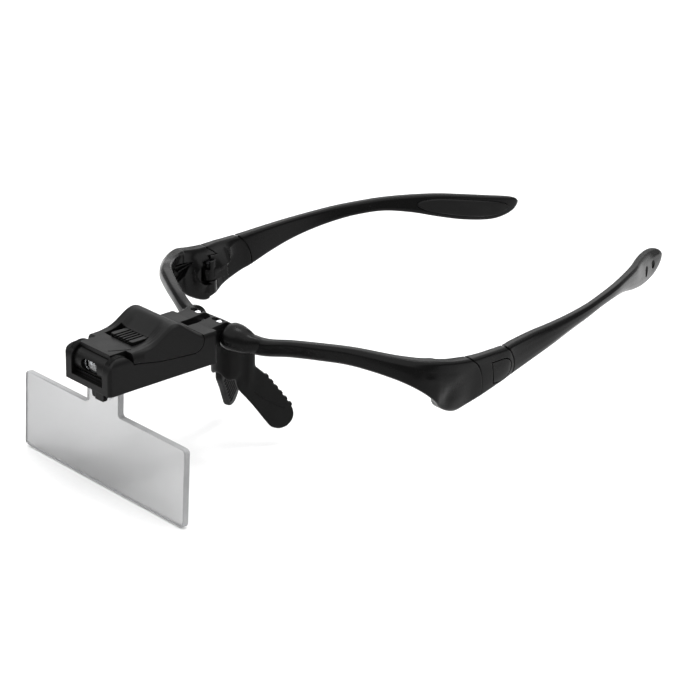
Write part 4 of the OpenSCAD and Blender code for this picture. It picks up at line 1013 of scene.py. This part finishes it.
def coverBlank(lipY):  # the flowing top with straight sides
    nx, ny = cover["steps"]
    y0, y1 = lipY - 0.5, cover["rear"] - 5
    points, faces = [], []
    for j in range(ny + 1):
        y = y0 + (y1 - y0) * j / ny
        for i in range(nx + 1):
            x = cover["halfWidth"] * sin(radians(90 * (2 * i / nx - 1)))
            points.append((x, y, coverTop(x, y)))
    base, w = len(points), nx + 1
    points += [(p[0], p[1], cover["under"] + 1) for p in points]
    for j in range(ny):
        for i in range(nx):
            a = j * w + i
            faces.append((a, a + 1, a + w + 1, a + w))
            faces.append((base + a, base + a + w, base + a + w + 1, base + a + 1))
    border = list(range(w)) + [j * w + nx for j in range(1, ny + 1)]
    border += [ny * w + i for i in range(nx - 1, -1, -1)] + [j * w for j in range(ny - 1, 0, -1)]
    faces += [(a, b, base + b, base + a) for a, b in zip(border, border[1:] + border[:1])]
    return newPiece("housingCover", points, faces)


def cutSwitchPlace(body):  # recess and slot of the switch
    low, high = cadCorners("switch_slider")
    gap = cover["switchGap"]
    x0, x1, y0, y1 = low[0] - cover["switchTravel"], high[0] + gap, low[1] - gap, high[1] + gap
    recess = [(x0, y0), (x1, y0), (x1, y1), (x0, y1)]
    for outline, deep in ((recess, cover["recessDeep"]), (cover["slit"], cover["slitDeep"])):
        combine(body, slab("recess", outline, cover["frontDeck"] - deep, 40, "Z"))


def cadCorners(node):
    return [[c / mm for c in corner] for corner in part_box(node)]


def makeCover():
    lipY = cover["front"] + cover["lipBack"]
    body = coverBlank(lipY)
    side = slab("side", sidePlan(cover["gap"]), -13, 13, "X")
    archAt = (cover["front"] + cover["archBack"], cover["archZ"])
    combine(side, slab("archRoom", circle(archAt, cover["archR"] + cover["gap"], 64), -14, 14, "X"))
    lipLow, lipEnd = cover["part"] + cover["partRise"], lipY + cover["archR"] + 4
    lip = [(lipY, lipLow), (lipEnd, lipLow), (lipEnd, 40), (lipY, 40)]
    combine(side, slab("lip", lip, -cover["lipHalf"], cover["lipHalf"], "X"), "UNION")
    combine(side, slab("barrelRoom", circle(archAt, cover["barrelRoom"], 64), -14, 14, "X"))
    combine(body, side, "INTERSECT")
    combine(body, slab("room", cover["room"], -cover["roomHalf"], cover["roomHalf"], "X"))
    cutSwitchPlace(body)
    return body


housingCover = makeCover()
finishPiece(housingCover, "housing", "housing_cover", housingPlastic)
print("housing cover made")


# Lens plate: clear slab with bevels and a sawn rim.
lens = {
    "width": 85, "height": 27, "thick": 2.4, "bevel": 0.35, "bevelAngle": 50, "round": 1.6, "tabWidth": 17,
    "tabHeight": 10.9, "tabRound": 1, "y": -60.0, "lean": 2.4, "faceLimit": 0.9,
}


def makeLens():
    w, h, r = lens["width"] / 2, lens["height"], lens["round"]
    t, foot = lens["tabWidth"] / 2, lens["tabRound"]
    right = arc((w - r, -h + r), r, -90, 0, 8) + arc((w - r, -r), r, 0, 90, 8)
    right += arc((t + foot, foot), foot, -90, -180, 6) + [(t, lens["tabHeight"])]
    plate = slab("lensPlate", right + [(-x, z) for x, z in right[::-1]], 0, lens["thick"], "Y")
    lean = rotation(-lens["lean"], "X")
    plate.data.transform(Matrix.Translation((0, lens["y"] * mm, 0)) @ lean)
    bevel = plate.modifiers.new("edges", "BEVEL")
    bevel.width = lens["bevel"] * mm
    bevel.segments = 1
    bevel.limit_method = "ANGLE"
    bevel.angle_limit = radians(lens["bevelAngle"])
    return bake(plate)


lensPlate = makeLens()
finishPiece(lensPlate, "lens", "lens_plate", lensAcrylic, 20)
lensPlate.data.materials.append(lensRim)
for face in lensPlate.data.polygons:  # the rim is all but the two polished faces
    face.material_index = 1 if abs(face.normal.y) < lens["faceLimit"] else 0
print("lens made")


# Lamp: two clear domes on small chips behind an oval window; local Z points out of the barrel.
lamp = {
    "y": -60.8, "z": 16.4, "aim": 94, "barrelR": 4.3, "gap": 3.4, "domeR": 1.12, "stem": 1.3, "stemLow": 0.2,
    "windowW": 7.9, "windowH": 4.1, "windowR": 1.8, "windowT": 0.5, "windowSet": 1.5, "chip": 0.42,
    "chipLow": -0.35, "chipTop": 0.12,
}


def inLamp(piece):
    aim = rotation(lamp["aim"], "X")
    piece.data.transform(Matrix.Translation((0, lamp["y"] * mm, lamp["z"] * mm)) @ aim)
    return piece


def roundedBox(width, height, r):
    x, y = width / 2 - r, height / 2 - r
    corners = [(x, -y), (x, y), (-x, y), (-x, -y)]
    return [p for k, at in enumerate(corners) for p in arc(at, r, 90 * k - 90, 90 * k, 10)]


def makeDome(at):
    stem = slab("lampDomes", circle(at, lamp["domeR"], 32), lamp["stemLow"], lamp["stem"] - 0.35, "Z")
    return combine(stem, ball("top", (*at, lamp["stem"] - 0.4), (lamp["domeR"] - 0.01,) * 3), "UNION")


def makeChip(at):
    (x, y), c = at, lamp["chip"]
    square = [(x - c, y - c), (x + c, y - c), (x + c, y + c), (x - c, y + c)]
    return slab("lampChips", square, lamp["chipLow"], lamp["chipTop"], "Z")


def makeLamp():
    outer = lamp["barrelR"] - lamp["windowSet"]
    oval = roundedBox(lamp["windowW"], lamp["windowH"], lamp["windowR"])
    pieces = [slab("lampWindow", oval, outer - lamp["windowT"], outer, "Z")]
    for make in (makeDome, makeChip):
        right, left = (make((sign * lamp["gap"] / 2, 0)) for sign in (1, -1))
        pieces.append(combine(right, left, "UNION"))
    return [inLamp(piece) for piece in pieces]


lampWindow, lampDomes, lampChips = makeLamp()
finishPiece(lampWindow, "lamp", "lamp_window", lampResin)
finishPiece(lampDomes, "lamp", "lamp_led", lampResin)
finishPiece(lampChips, "lamp", "lamp_led", chipPhosphor)
print("lamp made")


# Friction leaves: bowed steel strips that show in the lug windows.
leafSpring = {
    "x0": 3.25, "x1": 7.85, "y": -15.5, "wide": 1.9, "low": 19.75, "bow": 1.0, "bowPower": 1.5, "thick": 0.28,
    "steps": 16,
}


def makeLeaf(name, sign):
    top, under = [], []
    for i in range(leafSpring["steps"] + 1):
        t = i / leafSpring["steps"]
        x = leafSpring["x0"] + t * (leafSpring["x1"] - leafSpring["x0"])
        z = leafSpring["low"] + leafSpring["bow"] * sin(pi * t) ** leafSpring["bowPower"]
        top.append((sign * x, z + leafSpring["thick"]))
        under.append((sign * x, z))
    half = leafSpring["wide"] / 2
    return slab(name, top + under[::-1], leafSpring["y"] - half, leafSpring["y"] + half, "Y")


for name, sign in (("leafSpringLeft", 1), ("leafSpringRight", -1)):
    strip = makeLeaf(name, sign)
    shade(strip)
    dress(strip, pinSteel)
    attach(strip, "housing")
print("friction leaves made")


# Carried-over nodes get their finishes.
dressed = {
    "tilt_pin": pinSteel, "hinge_screw_left": blackSteel, "hinge_screw_right": blackSteel,
    "release_spring_left": pinSteel, "release_spring_right": pinSteel, "cover_screws": pinSteel,
    "button_cells": cellNickel, "battery_contacts": stripBrass, "switch_wiper": stripBrass,
    "circuit_board": greenBoard, "housing_base": housingPlastic, "battery_door": housingPlastic,
    "switch_slider": housingPlastic, "lamp_barrel": housingPlastic, "lens_clip": housingPlastic,
}
for name, material in dressed.items():
    dress(nodes[name], material)
print("nodes dressed:", len(dressed))


# Floor, lights, camera, all in metres.
studio = {
    "floorSize": 3.0, "floorDrop": 0.0006, "floorTone": 0.78, "floorSpread": 0.04, "grainPerMetre": 700,
    "gloss": 0.1, "roughness": 0.8, "grainRough": 0.1, "grain": 0.02, "world": 0.45,
}
panels = {  # place, aim, width and length, watts
    "skyPanel": ((0, 0, 1.6), (0, 0, 0), (4.0, 4.0), 92),
    "backPanel": ((-1.0, 0.85, 0.65), (0, 0, 0), (1.4, 0.5), 3.4),
    "topSoftbox": ((0.15, 0.25, 0.75), (0.0, 0.05, 0), (0.2, 0.13), 1.3),
    "leftStrip": ((-0.55, -0.35, 0.45), (0, 0, 0), (0.1, 0.6), 0.8),
    "rightFill": ((0.75, 0.2, 0.5), (0.05, 0.05, 0), (0.3, 0.3), 0.5),
}


def makeFloor():
    half, z = studio["floorSize"] / 2, cadLow[2] - studio["floorDrop"]
    mesh = bpy.data.meshes.new("floor")
    corners = [(-half, -half, z), (half, -half, z), (half, half, z), (-half, half, z)]
    mesh.from_pydata(corners, [], [(0, 1, 2, 3)])
    floor = placed("floor", mesh)
    paper = Finish("paper", {"Specular IOR Level": studio["gloss"]})
    grain = paper.noise(studio["grainPerMetre"], 3.0)
    dark, light = tone(studio["floorTone"]), tone(studio["floorTone"] + studio["floorSpread"])
    paper.drive("Base Color", paper.mixed(grain, dark, light))
    paper.drive("Roughness", studio["roughness"] + studio["grainRough"] * grain)
    paper.relief(grain, studio["grain"])
    floor.data.materials.append(paper.material)


def softLight(name, place, aim, size, power):
    light = bpy.data.lights.new(name, "AREA")
    light.shape = "RECTANGLE"
    light.size, light.size_y = size
    light.energy = power
    made = placed(name, light)
    made.location = place
    made.rotation_euler = (Vector(aim) - Vector(place)).to_track_quat("-Z", "Y").to_euler()


makeFloor()
world = bpy.data.worlds.new("studioWorld")
world.use_nodes = True
sky = world.node_tree.nodes["Background"]
sky.inputs["Color"].default_value = (1, 1, 1, 1)
sky.inputs["Strength"].default_value = studio["world"]
bpy.context.scene.world = world
for name, settings in panels.items():
    softLight(name, *settings)

camera = {
    "place": (0.63087, -0.53539, 0.35495), "azimuth": 47.64, "elevation": 22.69, "roll": 0.76, "focal": 2650,
    "frame": 680, "centre": (330, 338), "sensor": 36.0, "clip": (0.01, 10),
}
eye = bpy.data.cameras.new("camera")
eye.sensor_width = camera["sensor"]
eye.lens = camera["focal"] / camera["frame"] * eye.sensor_width
eye.shift_x = (camera["frame"] / 2 - camera["centre"][0]) / camera["frame"]
eye.shift_y = (camera["centre"][1] - camera["frame"] / 2) / camera["frame"]
eye.clip_start, eye.clip_end = camera["clip"]
viewer = placed("camera", eye)
turn = rotation(camera["azimuth"], "Z")
tilt = rotation(90 - camera["elevation"], "X")
roll = rotation(camera["roll"], "Z")
viewer.matrix_world = Matrix.Translation(camera["place"]) @ turn @ tilt @ roll
bpy.context.scene.camera = viewer
bpy.context.scene.view_settings.view_transform = "Standard"
print("studio set")
